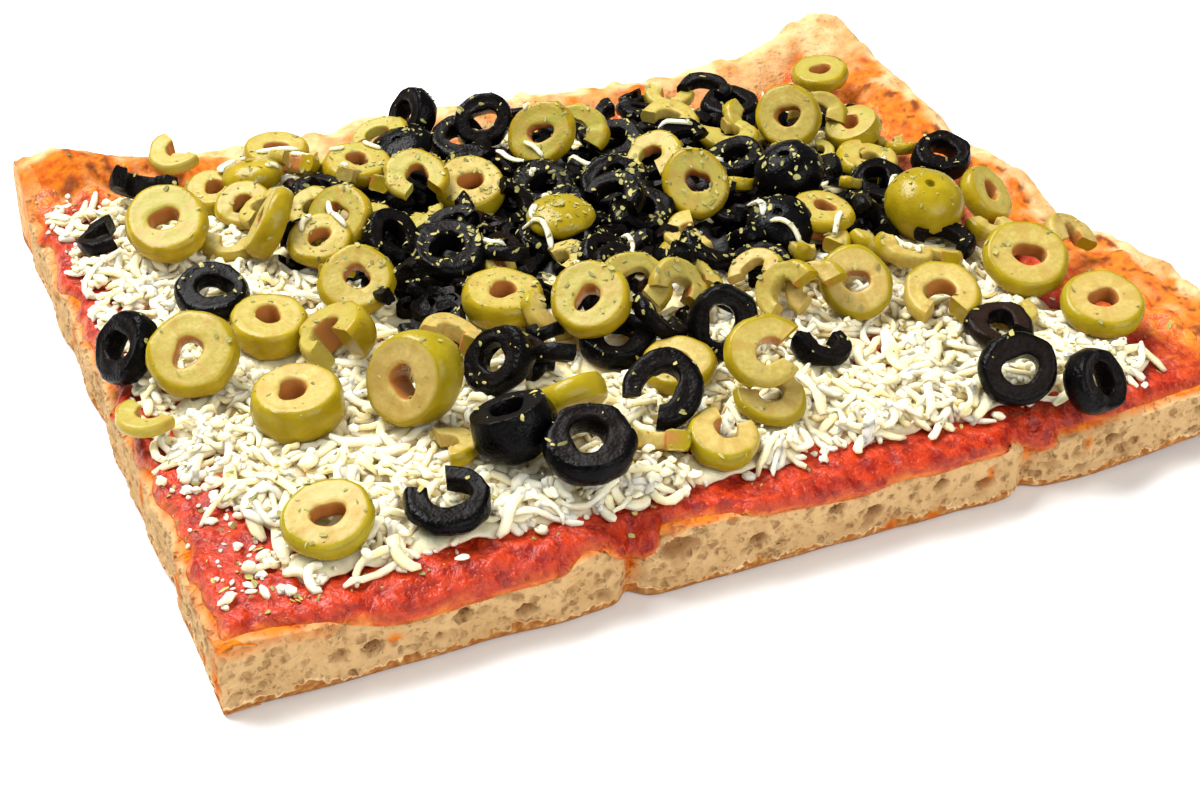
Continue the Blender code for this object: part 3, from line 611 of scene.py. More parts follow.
def pore_depth(s, z, rows):
    """The deepest pore at each point of the face. A warp makes their outlines uneven."""
    warp = np.array([(ripple(a, b, 1.9, 26.0), ripple(a, b, 1.7, 27.0)) for a, b in zip(s, z)])
    s, z = s + 0.9 * warp[:, 0], z + 0.7 * warp[:, 1]
    depth = np.zeros(len(s))
    for at, height, long, high, deep in rows:
        near = np.abs(s - at) < long
        d = ((s[near] - at) / long) ** 2 + ((z[near] - height) / high) ** 2
        depth[near] = np.maximum(depth[near], deep * np.clip(1.0 - d, 0, 1) ** 0.7)
    return depth


def cut_face(name, length, holes, seed, front):
    """One cut side. Along it runs s, up it w, and the lips run inwards by LIP."""
    rows_up = int(BREAD_HEIGHT / CUT_STEP)
    lip_rows = 4
    total = rows_up + 2 * lip_rows
    face = grid_sheet(name, int(length / CUT_STEP), total)
    unit = points_of(face.data)
    s = unit[:, 0] * length
    row = np.round(unit[:, 1] * total)
    w = np.clip((row - lip_rows) / rows_up, 0.0, 1.0)
    inward = np.maximum(lip_rows - row, row - lip_rows - rows_up).clip(0) / lip_rows * LIP
    inward *= np.array([lip_share(at, length) for at in s])
    out = np.empty_like(unit)
    heights = np.empty(len(s))
    for index in range(len(s)):
        x, y = (s[index], inward[index]) if front else (inward[index], s[index])
        low, top = bread_bottom(x, y), bread_top(x, y)
        dx, dy = outline_shift(x, y, w[index])
        heights[index] = (top - low) * w[index]
        under = 0.04 if w[index] == 0.0 and inward[index] > 0 else 0.0
        if w[index] == 1.0:
            under = -0.9 * smooth((inward[index] - 3.0) / 3.5) - 0.4 * (inward[index] == 0)
        out[index] = (x + dx, y + dy, low + heights[index] + under)
    depth = pore_depth(s, heights, pores(length, int(length * 3.0), holes, seed))
    fade = np.array([end_fade(at, length) for at in s])
    edge = np.minimum(heights, BREAD_HEIGHT - heights).clip(0, 1.2) / 1.2
    rough = np.array([noise.fractal(Vector((a / 1.6, b / 1.2, seed)), 0.8, 2.0, 4)
                      for a, b in zip(s, heights)])
    swell = np.array([ripple(a, b, 7.0, 24.0 + seed) for a, b in zip(s, heights)])
    open_face = (inward == 0) * edge * fade
    from_top = (1.0 - w) * BREAD_HEIGHT
    curve = 0.5 * np.clip(1.0 - from_top / 1.3, 0.0, 1.0) ** 2 * fade
    on_face = inward == 0
    foot = 0.35 * (1.0 - heights.clip(0, 1.0)) * on_face
    push = (depth + 0.42 * rough + 0.5 * swell) * open_face + curve * on_face + foot
    out[:, 1 if front else 0] += push - 0.12 * (1.0 - fade) * on_face
    place_in_frame(face.data, out)
    # How deep each point lies in a pore, which the bread finish turns into painted shade.
    add_attribute(face.data, "pore", (depth / 2.2).clip(0, 1) * open_face)
    crust = smooth_all((2.3 + 1.3 * swell + 0.9 * rough - heights) / 0.9) * (0.9 + 0.3 * rough)
    if not front:
        crust += 0.45 * np.clip(rough - 0.1, 0, 1)
    near_end = smooth_all((s - length + 24.0) / 12.0)
    ends = [crust_tints(*((at, 6.0) if front else (2.0, at)), 9.0, 1.0) for at in s]
    crust += near_end * (0.25 + 0.5 * np.array([tint["bake"] for tint in ends]))
    add_attribute(face.data, "bake", crust)
    stain = sauce_smear(s, heights, front)
    on_lip = (w == 1.0) & (inward > 0)
    patchy = np.array([ripple(a, b, 4.0, 28.0) for a, b in zip(s, inward)])
    stain = np.where(on_lip, np.maximum(stain, 0.62 + 0.1 * inward + 0.8 * patchy), stain).clip(0, 1)
    soaked = near_end * np.array([tint["stain"] for tint in ends]) * (0.3 + 0.7 * w)
    add_attribute(face.data, "stain", np.maximum(stain * (1.0 - near_end), soaked))
    add_attribute(face.data, "char", np.zeros(len(s)))
    apply(face, "SOLIDIFY", thickness=0.4 * MM, offset=-1.0 if front else 1.0)
    bpy.ops.object.mode_set(mode="EDIT")
    leave_outwards()
    work_on(face)
    bpy.ops.object.shade_smooth_by_angle(angle=radians(75))
    finish_piece(face, bread_material, "bread", "bread_base")
    return face


def sauce_smear(s, heights, front):
    """Orange juice soaked into the crumb below the sauce, and a few drips and stains."""
    smear = []
    for at, height in zip(s, heights):
        corner = 1.0 - smooth((at - 14.0) / 16.0)
        reach = 1.6 + 3.0 * corner + 2.6 * ripple(at, 2.0, 5.0, 20.0 + front)
        fall = smooth(1.0 - (BREAD_HEIGHT - height) / max(0.5, reach))
        value = 0.9 * fall * (0.62 + 1.1 * ripple(at, height, 3.5, 22.0))
        for place, low, wide, high in (SAUCE_DRIPS if front else LEFT_DRIPS):
            value = max(value, 1.15 * exp(-((at - place) / wide) ** 2 - ((height - low) / high) ** 2))
        smear.append(value)
    return np.clip(smear, 0, 1)


front_crumb = cut_face("front_crumb", WIDTH, FRONT_HOLES, 3, True)
left_crumb = cut_face("left_crumb", DEPTH, LEFT_HOLES, 4, False)

# %% [markdown]
# ## Tomato sauce
# The sauce is crushed tomato: wet, lumpy, bright red, and darker where it lies deep. It thins to
# orange where it bakes onto the crust. A sheet is laid over the bread, hung a few millimetres
# over both cuts, and given a thickness with Solidify.

# %% Sauce material and sheet
SAUCE_STEP = 1.05
HANG_FRONT = 2.8
HANG_LEFT = 1.6
SAUCE_SET_BACK = ((0, 1.6), (10, 2.2), (20, 0.9), (34, -2.4), (48, -2.0), (62, -1.4),
                  (74, 1.2), (81, -1.5), (86, -2.8), (92, 3.5), (104, 1.5), (114, -1.5),
                  (132, -2.4), (146, -0.8),
                  (158, -2.4), (172, -1.6), (178, 1.5), (185, -2.6), (192, 1.5), (206, 1.8),
                  (226, 2.4), (244, 4.0))


def sauce_finish():
    finish = Finish("tomato_sauce_wet", 0.4, Specular_IOR_Level=0.3)
    pulp = finish.noise(3.2, 5.0, 0.4)
    fine = finish.noise(0.9, 3.0)
    red = finish.mix(finish.ramp(pulp, 0.36, 0.6), (0.23, 0.006, 0.002), (0.48, 0.032, 0.005))
    red = finish.mix(finish.ramp(fine, 0.56, 0.72, 0.0, 0.6), red, (0.62, 0.085, 0.018))
    thin = finish.attribute("thin")
    orange = finish.mix(finish.ramp(pulp, 0.4, 0.6), (0.62, 0.10, 0.008), (0.74, 0.23, 0.025))
    colour = finish.mix(thin, red, orange)
    colour = finish.mix(finish.attribute("char"), colour, CHAR)
    normal = finish.bump(pulp, 1.5, 0.9)
    normal = finish.bump(fine, 0.4, 0.7, normal)
    rough = finish.ramp(finish.noise(5.0, 2.0), 0.3, 0.7, 0.22, 0.45)
    return finish.finish(colour, normal, rough)


def sauce_lump(x, y):
    coarse = 0.8 * ripple(x, y, 5.2, 4.0)
    pulp = 0.75 * ripple(x, y, 2.3, 9.0)
    return coarse + pulp


def sauce_over(u, v):
    """Where the sauce's surface is for a place on the sheet, and how thin it lies there."""
    x = u * (SAUCE_END_X + HANG_LEFT) - HANG_LEFT
    y = v * (SAUCE_END_Y + HANG_FRONT) - HANG_FRONT
    from_front, from_left = y + HANG_FRONT, x + HANG_LEFT
    y += (along(SAUCE_SET_BACK, max(0.0, x)) + HANG_FRONT) * (1.0 - smooth(from_front / 16.0))
    x += (1.2 + 3.0 * ripple(1.0, y, 9.0, 33.0) + HANG_LEFT) * (1.0 - smooth(from_left / 12.0))
    hang_y, hang_x = max(0.0, -y), max(0.0, -x)
    on_x, on_y = max(x, 0.0), max(y, 0.0)
    rim = min(SAUCE_END_X - x, SAUCE_END_Y - y)
    dx, dy = outline_shift(on_x, on_y, 1.0)
    thick = SAUCE_THICK - 0.1 + sauce_lump(x, y)
    thick *= 0.15 + 0.85 * smooth(rim / 12.0)
    thick *= 0.2 + 0.8 * smooth(min(from_front, from_left * 1.4) / 3.0)
    sunk = 1.1 * (1.0 - smooth((rim + 7.0 * ripple(x, y, 7.0, 34.0)) / 5.0))
    top = crust_top(on_x, on_y) + GAP + max(0.2, thick) - sunk
    if not hang_y and not hang_x:
        end_y = 1.0 - smooth(from_front / 2.2) if y > 0.3 else 0.0
        end_x = 1.0 - smooth(from_left / 2.2) if x > 0.3 else 0.0
        top -= 1.1 * max(end_x, end_y)
    if hang_y:
        top -= 0.4 + hang_y * 1.0
        dy -= 0.75 - 0.1 * hang_y
    if hang_x:
        top -= 0.4 + hang_x * 0.9
        dx -= 0.6 - 0.15 * hang_x
    from_edge = min(SAUCE_END_X - 3 - x, SAUCE_END_Y - y, 3.0 + from_front * 6.0,
                    2.0 + from_left * 6.0)
    thin = 1.0 - smooth((from_edge + 5 * ripple(x, y, 8.0, 6.0)) / 12.0)
    return (on_x + dx, on_y + dy, top), (x, y), thin


def sauce_sheet():
    sheet = grid_sheet("sauce_layer", int(SAUCE_END_X / SAUCE_STEP), int(SAUCE_END_Y / SAUCE_STEP))
    unit = points_of(sheet.data)
    out = np.empty_like(unit)
    thin, char = [], []
    for index, (u, v, _) in enumerate(unit):
        out[index], (x, y), value = sauce_over(u, v)
        thin.append(value)
        char.append(crust_tints(x, y, 15.0, 1.0)["char"] * value)
    place_in_frame(sheet.data, out)
    add_attribute(sheet.data, "thin", thin)
    add_attribute(sheet.data, "char", char)
    apply(sheet, "SOLIDIFY", thickness=0.5 * MM, offset=-1.0)
    bpy.ops.object.shade_smooth()
    return sheet


sauce = sauce_sheet()
finish_piece(sauce, sauce_finish(), "sauce", "tomato_sauce")

# %% [markdown]
# ## The olives' places
# Each row is one cut olive: its place, the height of what it lies on, width, thickness, the tilt
# of its cut face and the way that face leans, its shape, and the way a gap opens. Those in the
# first two lists are solids of their own. The rest are in the heap.

# %% Olive rows
GREEN_APART = (
    (27, 19, 19, 17.8, 4.6, 18, 243, "ring", 0),
    (57, 33, 19, 14.0, 4.0, 6, 120, "half", 20),
    (88, 41, 20, 16.0, 5.5, 52, 95, "ring", 0),
    (116, 44, 19, 17.5, 4.4, 14, 200, "ring", 0),
    (110, 15, 19, 17.0, 4.6, 8, 243, "open", 330),
    (97, 20, 18, 15.5, 4.6, 40, 60, "half", 90),
    (137, 42, 23, 17.8, 4.2, 40, 250, "open", 270),
    (128, 25, 19, 15.5, 3.8, 26, 250, "open", 40),
    (4, 67, 18, 15.0, 3.6, 8, 60, "half", 240),
    (34, 61, 19, 20.2, 8.2, 5, 200, "ring", 0),
    (60, 61, 19, 20.8, 9.4, 68, 214, "ring", 0),
    (19, 89, 20, 20.0, 5.0, 38, 243, "ring", 0),
    (38, 95, 20, 18.5, 6.4, 8, 243, "ring", 0),
    (50, 84, 19, 18.6, 8.5, 30, 165, "open", 180),
    (63, 108, 20, 18.2, 5.0, 38, 243, "ring", 0),
    (29, 155, 20, 21.5, 6.0, 26, 243, "ring", 0),
    (42, 197, 21, 17.5, 4.5, 12, 225, "half", 230),
    (191, 47, 20, 20.0, 5.8, 20, 220, "open", 170),
    (222, 57, 21, 21.5, 5.6, 28, 243, "ring", 0),
    (240, 62, 22, 17.0, 4.2, 34, 300, "half", 120),
    (202, 37, 19, 15.0, 4.2, 12, 300, "half", 300),
    (225, 31, 20, 20.2, 5.4, 16, 235, "ring", 0),
    (175, 63, 20, 18.2, 5.0, 46, 238, "ring", 0),
    (243, 187, 27, 17.5, 4.6, 14, 200, "ring", 0),
)
BLACK_APART = (
    (50, 16, 19, 17.4, 4.4, 14, 243, "open", 35),
    (72, 33, 19, 17.6, 12.0, 22, 130, "cup", 0),
    (84, 23, 20, 18.6, 6.0, 18, 243, "ring", 0),
    (108, 37, 22, 18.6, 4.0, 32, 243, "open", 130),
    (134, 57, 20, 17.0, 6.0, 62, 245, "ring", 0),
    (151, 41, 19, 15.0, 5.5, 20, 300, "half", 300),
    (6, 97, 18, 16.5, 5.4, 58, 200, "ring", 0),
    (30, 115, 19, 17.4, 5.0, 16, 243, "ring", 0),
    (29, 181, 19, 18.5, 7.0, 40, 60, "half", 120),
    (14, 154, 19, 16.0, 4.5, 18, 160, "half", 200),
    (186, 14, 19, 17.4, 5.6, 48, 243, "ring", 0),
    (194, 31, 19, 16.5, 4.6, 8, 243, "open", 200),
    (199, 3, 17, 16.2, 5.6, 56, 285, "ring", 0),
    (241, 119, 20, 16.0, 6.5, 24, 243, "ring", 0),
)
GREEN_HEAP = (
    (45, 168, 20, 17, 5, 10, 243, "ring", 0), (57, 177, 22, 17, 7, 14, 120, "end", 0),
    (67, 188, 21, 18, 4.6, 6, 243, "ring", 0), (85, 172, 23, 19, 4.6, 8, 243, "ring", 0),
    (97, 188, 22, 17, 4.6, 20, 200, "half", 100), (70, 142, 21, 18, 4.6, 46, 215, "ring", 0),
    (53, 146, 20, 18, 6, 62, 160, "ring", 0), (41, 139, 19, 15, 4.4, 12, 243, "half", 270),
    (84, 137, 21, 16, 5, 12, 300, "half", 270), (92, 87, 22, 19.6, 6.5, 6, 243, "ring", 0),
    (100, 76, 20, 16, 4.6, 30, 300, "half", 260), (111, 79, 23, 19, 5.2, 34, 225, "ring", 0),
    (124, 82, 21, 18, 5.2, 48, 250, "half", 60), (132, 75, 20, 17, 5, 50, 280, "half", 90),
    (157, 65, 19, 17, 5, 58, 200, "half", 120), (164, 63, 19, 16, 5, 50, 210, "half", 120),
    (189, 100, 27, 17, 3.8, 6, 243, "ring", 0), (178, 86, 22, 18, 4.6, 12, 243, "open", 200),
    (192, 80, 20, 16, 4.6, 24, 330, "half", 300), (220, 97, 22, 21, 12, 20, 243, "end", 0),
    (237, 93, 20, 17, 5, 40, 300, "ring", 0), (226, 77, 20, 15, 4.6, 10, 320, "half", 300),
    (218, 122, 20, 17, 5, 14, 243, "half", 30), (97, 159, 26, 18, 3.4, 22, 243, "open", 190),
    (108, 147, 21, 19, 7, 22, 250, "ring", 0), (88, 135, 20, 17, 5, 18, 200, "half", 280),
    (124, 124, 27, 17, 5.4, 10, 243, "end", 0), (141, 174, 22, 19, 5.4, 56, 225, "ring", 0),
    (151, 172, 22, 18, 5, 54, 235, "half", 60), (180, 170, 24, 19, 4.6, 10, 243, "half", 60),
    (163, 147, 24, 18, 3.8, 30, 200, "open", 150), (166, 128, 23, 18.6, 5, 50, 243, "ring", 0),
    (191, 154, 24, 18, 4.4, 8, 260, "open", 40), (151, 101, 20, 18, 5, 14, 200, "half", 200),
    (141, 88, 20, 15, 4.6, 16, 280, "half", 250), (215, 160, 23, 19, 6, 58, 225, "ring", 0),
    (223, 157, 22, 17, 5.4, 52, 235, "half", 80), (190, 188, 22, 16, 4.6, 18, 220, "half", 250),
    (220, 125, 22, 18, 4.2, 8, 243, "open", 330), (227, 143, 20, 17, 8, 26, 180, "cup", 0),
)
BLACK_HEAP = (
    (70, 157, 20, 16, 5, 10, 243, "ring", 0), (80, 61, 20, 16, 6, 50, 200, "ring", 0),
    (85, 63, 20, 16, 5, 16, 300, "half", 40), (93, 58, 19, 15, 5, 40, 60, "half", 200),
    (109, 59, 20, 17, 4.8, 14, 243, "ring", 0), (124, 65, 19, 16, 4.6, 16, 300, "half", 300),
    (206, 98, 21, 17, 5, 50, 330, "half", 100), (209, 74, 20, 16, 5, 16, 243, "half", 60),
    (213, 110, 20, 16, 5, 26, 240, "ring", 0), (110, 200, 22, 16, 6, 60, 190, "ring", 0),
    (100, 180, 22, 18, 6, 20, 200, "end", 0), (129, 189, 23, 16, 6, 52, 240, "ring", 0),
    (117, 177, 21, 18, 5, 16, 243, "ring", 0), (89, 114, 22, 19.5, 6, 12, 243, "ring", 0),
    (102, 108, 21, 16, 5, 30, 60, "half", 220), (116, 113, 22, 17, 4.6, 8, 243, "ring", 0),
    (126, 140, 22, 18, 5, 14, 243, "ring", 0), (167, 177, 22, 17, 5, 16, 230, "half", 220),
    (158, 160, 21, 17, 5.4, 22, 220, "ring", 0), (141, 128, 22, 18, 6, 26, 200, "half", 60),
    (144, 117, 21, 17, 5, 16, 250, "ring", 0), (136, 96, 20, 16, 5, 18, 180, "half", 200),
    (72, 81, 19, 16, 5, 16, 243, "half", 300), (201, 187, 23, 17, 5, 14, 220, "half", 60),
    (203, 174, 23, 17, 4.6, 10, 243, "ring", 0), (230, 161, 22, 16, 5, 12, 230, "half", 250),
    (195, 128, 24, 19, 11, 24, 200, "end", 0), (175, 99, 21, 18, 9, 26, 220, "end", 0),
    (168, 112, 21, 16, 5, 16, 250, "half", 180), (184, 138, 22, 17, 5.4, 16, 200, "ring", 0),
)

# %% [markdown]
# ## Where each olive comes to rest
# An olive keeps to its line of sight and settles on what is below it. The ones apart take their
# exact place from their solid. The ones in the heap settle again as they did in the solid: each
# tries a little higher or further aside until it cuts nothing that stands apart. One of them is
# then moved, as it came through the skin of its neighbour.

# %% Settling
SIDES = 10
HEAP_SIDES = 7
MOST_RISE = 24
MOST_ASIDE = 8
PRESS_COST = 2.4
GREEN_HOLE = 0.31
BLACK_HOLE = 0.42
BARREL = 0.87
HEAP_SINK = 1.2
FILLER_PRESS = 1.5
PRESSED_BLACK = (206, 98)   # it would show through the skin of a whole green end
PRESSED_MOVE = (-4.5, -4.0, -1.5)
NEIGHBOUR_REACH = 24.0    # olives whose middles lie further apart than this can't touch
DEEPEST_PRESS = 0.45      # the share of its thickness that a slice may be tried at


def spun(profile, sides, sweep=2 * pi):
    """The plain solid of an olive, as points and faces, for measuring."""
    closed = sweep > 6.28
    turns = [sweep * k / sides - sweep / 2 for k in range(sides + (0 if closed else 1))]
    points = [(r * cos(a), r * sin(a), z) for a in turns for r, z in profile]
    count, faces = len(profile), []
    for k in range(sides):
        here, there = k * count, ((k + 1) % len(turns)) * count
        for j in range(count):
            n = (j + 1) % count
            faces.append((here + j, here + n, there + n, there + j))
    if not closed:
        faces += [tuple(range(count))[::-1], tuple(range(sides * count, (sides + 1) * count))]
    return np.array(points), faces


class Olive:
    """A cut olive with its size, its shape and the place where it comes to rest."""

    def __init__(self, row, colour, sides):
        self.x, self.y, self.support, self.width, self.thick = row[:5]
        self.tilt, self.toward, self.shape, self.opens = row[5:]
        self.colour = colour
        self.sides = sides
        self.known = None
        lean = radians(self.tilt)
        self.height = self.support + 0.5 * self.thick * cos(lean) + 0.44 * self.width * sin(lean)
        self.aside = Vector((0.0, 0.0))
        self.sweep = {"half": pi * 1.15, "open": pi * 1.6}.get(self.shape, 2 * pi)

    def centre(self):
        if self.known:
            return self.known
        read = Vector((self.x, self.y, SIGHT_HEIGHT))
        share = (EYE.z - self.height) / (EYE.z - SIGHT_HEIGHT)
        return EYE + (read - EYE) * share + self.aside.to_3d()

    def turned(self, points):
        """Turn the gap first, then tip the cut face."""
        toward = radians(self.toward)
        tip = Matrix.Rotation(radians(self.tilt), 3, Vector((-sin(toward), cos(toward), 0.0)))
        turn = Matrix.Rotation(radians(self.opens) + pi, 3, "Z")
        return points @ np.array(tip @ turn).T

    def outline(self):
        r, h = self.width / 2, self.thick / 2
        bore = r * (GREEN_HOLE if self.colour == "green" else BLACK_HOLE)
        face = r * BARREL
        if self.shape == "end":
            return ((0.01, -h), (face, -h), (r, -0.2 * h), (0.72 * r, 0.6 * h), (0.01, h))
        if self.shape == "cup":
            return ((0.01, -h), (0.62 * r, -0.75 * h), (r, 0.1 * h), (face, h), (bore, h),
                    (bore * 0.7, -0.1 * h), (0.01, -0.2 * h))
        if self.sides == HEAP_SIDES and self.shape == "half":
            return ((bore, -h), (r * 0.93, -h), (r * 0.97, h), (bore, h))
        return ((bore, -h), (face, -h), (r, 0), (face, h), (bore, h))

    def plain(self, swell=0.0):
        sides = max(4, round(self.sides * self.sweep / (2 * pi)))
        points, faces = spun(self.outline(), sides, self.sweep)
        if swell:
            ring = np.hypot(points[:, 0], points[:, 1])[:, None]
            mid = (self.width / 2 + self.width / 2 * 0.3) / 2
            away = points * np.array((1.0, 1.0, 0.0)) / np.maximum(ring, 0.1)
            out = np.where(ring > mid, 1.0, -1.0)
            points = points + away * out * swell * 0.75
            points[:, 2] += np.sign(points[:, 2]) * swell * 0.6
        return self.turned(points), faces

    def skin(self, swell=0.0):
        points, faces = self.plain(swell)
        return BVHTree.FromPolygons((points + np.array(self.centre())).tolist(), faces)

    def take_place_of(self, node):
        """Stand exactly where this olive's solid stands."""
        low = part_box(node)[0] / MM + Vector(CORNER)
        self.known = low - Vector(self.plain()[0].min(axis=0))
        self.tree = self.skin()

    def near(self, others):
        here = self.centre()
        return [o for o in others if (o.centre() - here).length < NEIGHBOUR_REACH]

    def crosses(self, bases, apart, pile):
        firm = self.skin(GAP + 0.08)
        hard = any(firm.overlap(o.tree) for o in self.near(apart))
        hard = hard or any(firm.overlap(base) for base in bases)
        soft = False
        if pile and not hard:
            pressed = self.skin(-HEAP_SINK)
            soft = any(pressed.overlap(o.tree) for o in self.near(pile))
        return hard, soft

    def presses_little(self, others, depth):
        """True where it is nowhere deeper than this in the others' surfaces."""
        pressed = self.skin(-min(depth, DEEPEST_PRESS * self.thick))
        return not any(pressed.overlap(o.tree) for o in self.near(others))

    def settle(self, bases, apart, pile=()):
        begin = self.height
        close = min(apart, key=lambda o: (o.centre() - self.centre()).length, default=self)
        away = (self.centre() - close.centre()).to_2d()
        away = away.normalized() if away.length > 0.1 else Vector((0.0, 0.0))
        moves = [(rise * 0.4, aside) for rise in range(MOST_RISE) for aside in range(MOST_ASIDE)]
        best = None
        for rise, aside in sorted(moves, key=lambda m: m[0] + 1.1 * m[1]):
            cost = rise + 1.1 * aside
            if best and cost >= best[0]:
                break
            self.height = begin + rise
            self.aside = away * aside
            hard, soft = self.crosses(bases, apart, pile)
            if hard:
                continue
            cost += PRESS_COST if soft else 0.0
            if best is None or cost < best[0]:
                best = (cost, rise, aside)
        if best is None:
            return False
        self.height = begin + best[1]
        self.aside = away * best[2]
        self.tree = self.skin()
        return True


def olives_apart():
    rows = [("green", row) for row in GREEN_APART] + [("black", row) for row in BLACK_APART]
    counts = {"green": 0, "black": 0}
    found = []
    for colour, row in sorted(rows, key=lambda entry: entry[1][2]):
        olive = Olive(row, colour, SIDES)
        counts[colour] += 1
        olive.name = f"{colour}_olive_{counts[colour]:02d}"
        olive.take_place_of(olive.name)
        found.append(olive)
    return found


def olives_in_heap(apart, bases):
    rows = [("green", row) for row in GREEN_HEAP] + [("black", row) for row in BLACK_HEAP]
    stacked = []
    for colour, row in sorted(rows, key=lambda entry: entry[1][2]):
        olive = Olive(row, colour, HEAP_SIDES)
        if olive.settle(bases, apart, stacked):
            stacked.append(olive)
    return stacked


bases = [joined_tree([nodes[name]]) for name in ("bread_base", "tomato_sauce", "grated_cheese")]
apart = olives_apart()
heap = olives_in_heap(apart, bases)
for olive in heap:
    if (olive.x, olive.y) == PRESSED_BLACK:
        olive.known = olive.centre() + Vector(PRESSED_MOVE)
        olive.tree = olive.skin()
print("olives apart", len(apart), "in the heap", len(heap))

# %% [markdown]
# ## Room between the olives
# The heap hides its own inside, but between the listed olives there are gaps.
# More slices fill them, as in any handful of olives: drawn at random, low down, and kept only
# where they press little into their neighbours.

# %% The heap's outline and fillers
HEAP_CENTRE = (131.0, 122.0)
HEAP_REACH = ((0, 106), (12, 112), (22, 112), (36, 98), (49, 93), (65, 73), (90, 65), (115, 73),
              (134, 93), (145, 100), (155, 100), (168, 92), (180, 78), (195, 68), (215, 78),
              (229, 91), (240, 85), (252, 81), (270, 62), (290, 70), (294, 73), (310, 76),
              (328, 98), (338, 110), (348, 112), (360, 106))
HEAP_LOW = 2.2
FILLER_LAYERS = 6
FILLER_SPACE = 9.0
FILLERS_ACROSS = 22
FILLERS_BACK = 16


def heap_share(x, y):
    """How far out a point lies, from 0 in the middle of the heap to 1 at its outline."""
    away = Vector((x - HEAP_CENTRE[0], y - HEAP_CENTRE[1]))
    if away.length < 1e-6:
        return 0.0
    return away.length / along(HEAP_REACH, degrees(atan2(away.y, away.x)) % 360.0)


def fillers(apart, heap, bases):
    """Low slices on loose grids, mostly black in the middle, under the listed ones."""
    draw = random.Random(21)
    added = []
    for layer in range(FILLER_LAYERS):
        for i in range(FILLERS_ACROSS):
            for j in range(FILLERS_BACK):
                x = 40 + FILLER_SPACE * (i + 0.33 * layer) + draw.uniform(-3, 3)
                y = 60 + FILLER_SPACE * (j + 0.33 * layer) + draw.uniform(-3, 3)
                shape = draw.choice(("ring", "half", "half", "open"))
                small = 0.62 if layer > 2 else 1.0
                row = (x, y, draw.uniform(20.0, 21.5) + 0.8 * (layer % 3),
                       small * draw.uniform(14.5, 17.0), small ** 0.5 * draw.uniform(3.6, 5.4),
                       draw.uniform(5, 42), draw.uniform(0, 360), shape, draw.uniform(0, 360))
                middle = exp(-((x - 138) / 58.0) ** 2 - ((y - 132) / 48.0) ** 2)
                colour = "black" if draw.random() < 0.35 + 0.75 * middle else "green"
                if heap_share(x, y) > 0.97 or draw.random() > 0.6 + 0.7 * middle:
                    continue
                olive = Olive(row, colour, HEAP_SIDES)
                at = olive.centre()
                close = 5.2 if colour == "black" or layer > 2 else 6.5
                if any((o.centre() - at).length < close for o in added):
                    continue
                alike = [o for o in heap + added if o.colour == colour == "black"]
                others = [o for o in heap + added if o not in alike]
                press = 1.0 if layer > 2 else FILLER_PRESS
                if not olive.presses_little(others, press):
                    continue
                if olive.crosses(bases, apart, ())[0]:
                    continue
                if olive.presses_little(alike, 2.6 * FILLER_PRESS):
                    olive.tree = olive.skin()
                    added.append(olive)
    return added


more = fillers(apart, heap, bases)
print("slices that fill gaps", len(more))

# %% [markdown]
# ## Olive finishes
# A green olive has a shiny yellow green skin, paler flesh with faint rays, and a warm, rough wall
# where the stone was. A black one is nearly black all over, with a blue gloss on the wet skin and
# a matte cut face. The point attributes "flesh" and "pit" say which part is which.

# %% Olive materials
GREEN_SKIN = (0.26, 0.165, 0.002)
GREEN_SKIN_LIGHT = (0.40, 0.285, 0.010)
GREEN_FLESH = (0.38, 0.295, 0.045)
GREEN_FLESH_PALE = (0.54, 0.415, 0.135)
PIT_WALL = (0.42, 0.17, 0.04)


def green_finish():
    finish = Finish("green_olive_wet", 0.3, Subsurface_Weight=0.2, Subsurface_Scale=0.002,
                    Subsurface_Radius=(0.8, 0.6, 0.2), Specular_IOR_Level=0.22)
    cloud = finish.noise(6.0, 3.0)
    grain = finish.noise(0.9, 3.0)
    tone = finish.attribute("tone")
    skin = finish.mix(finish.ramp(cloud, 0.35, 0.68), GREEN_SKIN, GREEN_SKIN_LIGHT)
    skin = finish.mix(finish.ramp(tone, 0.0, 1.0, 0.0, 0.5), skin, (0.30, 0.255, 0.006))
    flesh = finish.mix(finish.ramp(grain, 0.25, 0.8), GREEN_FLESH, GREEN_FLESH_PALE)
    flesh = finish.mix(finish.ramp(tone, 0.1, 0.6, 0.75, 0.0), flesh, (0.33, 0.30, 0.035))
    flesh = finish.mix(finish.ramp(tone, 0.6, 1.0, 0.0, 0.4), flesh, (0.57, 0.38, 0.15))
    ray = finish.ramp(finish.attribute("ray"), 0.5, 0.85, 0.0, 0.55)
    flesh = finish.mix(ray, flesh, (0.40, 0.25, 0.05))
    wet = finish.ramp(finish.noise(2.6, 3.0), 0.52, 0.7, 0.0, 0.35)
    flesh = finish.mix(wet, flesh, (0.44, 0.285, 0.07))
    colour = finish.mix(finish.attribute("flesh"), skin, flesh)
    colour = finish.mix(finish.attribute("pit"), colour, PIT_WALL)
    normal = finish.bump(cloud, 0.5, 0.5)
    normal = finish.bump(grain, 0.2, 0.55, normal)
    rough = finish.ramp(finish.attribute("flesh"), 0.0, 1.0, 0.24, 0.42)
    return finish.finish(colour, normal, rough)


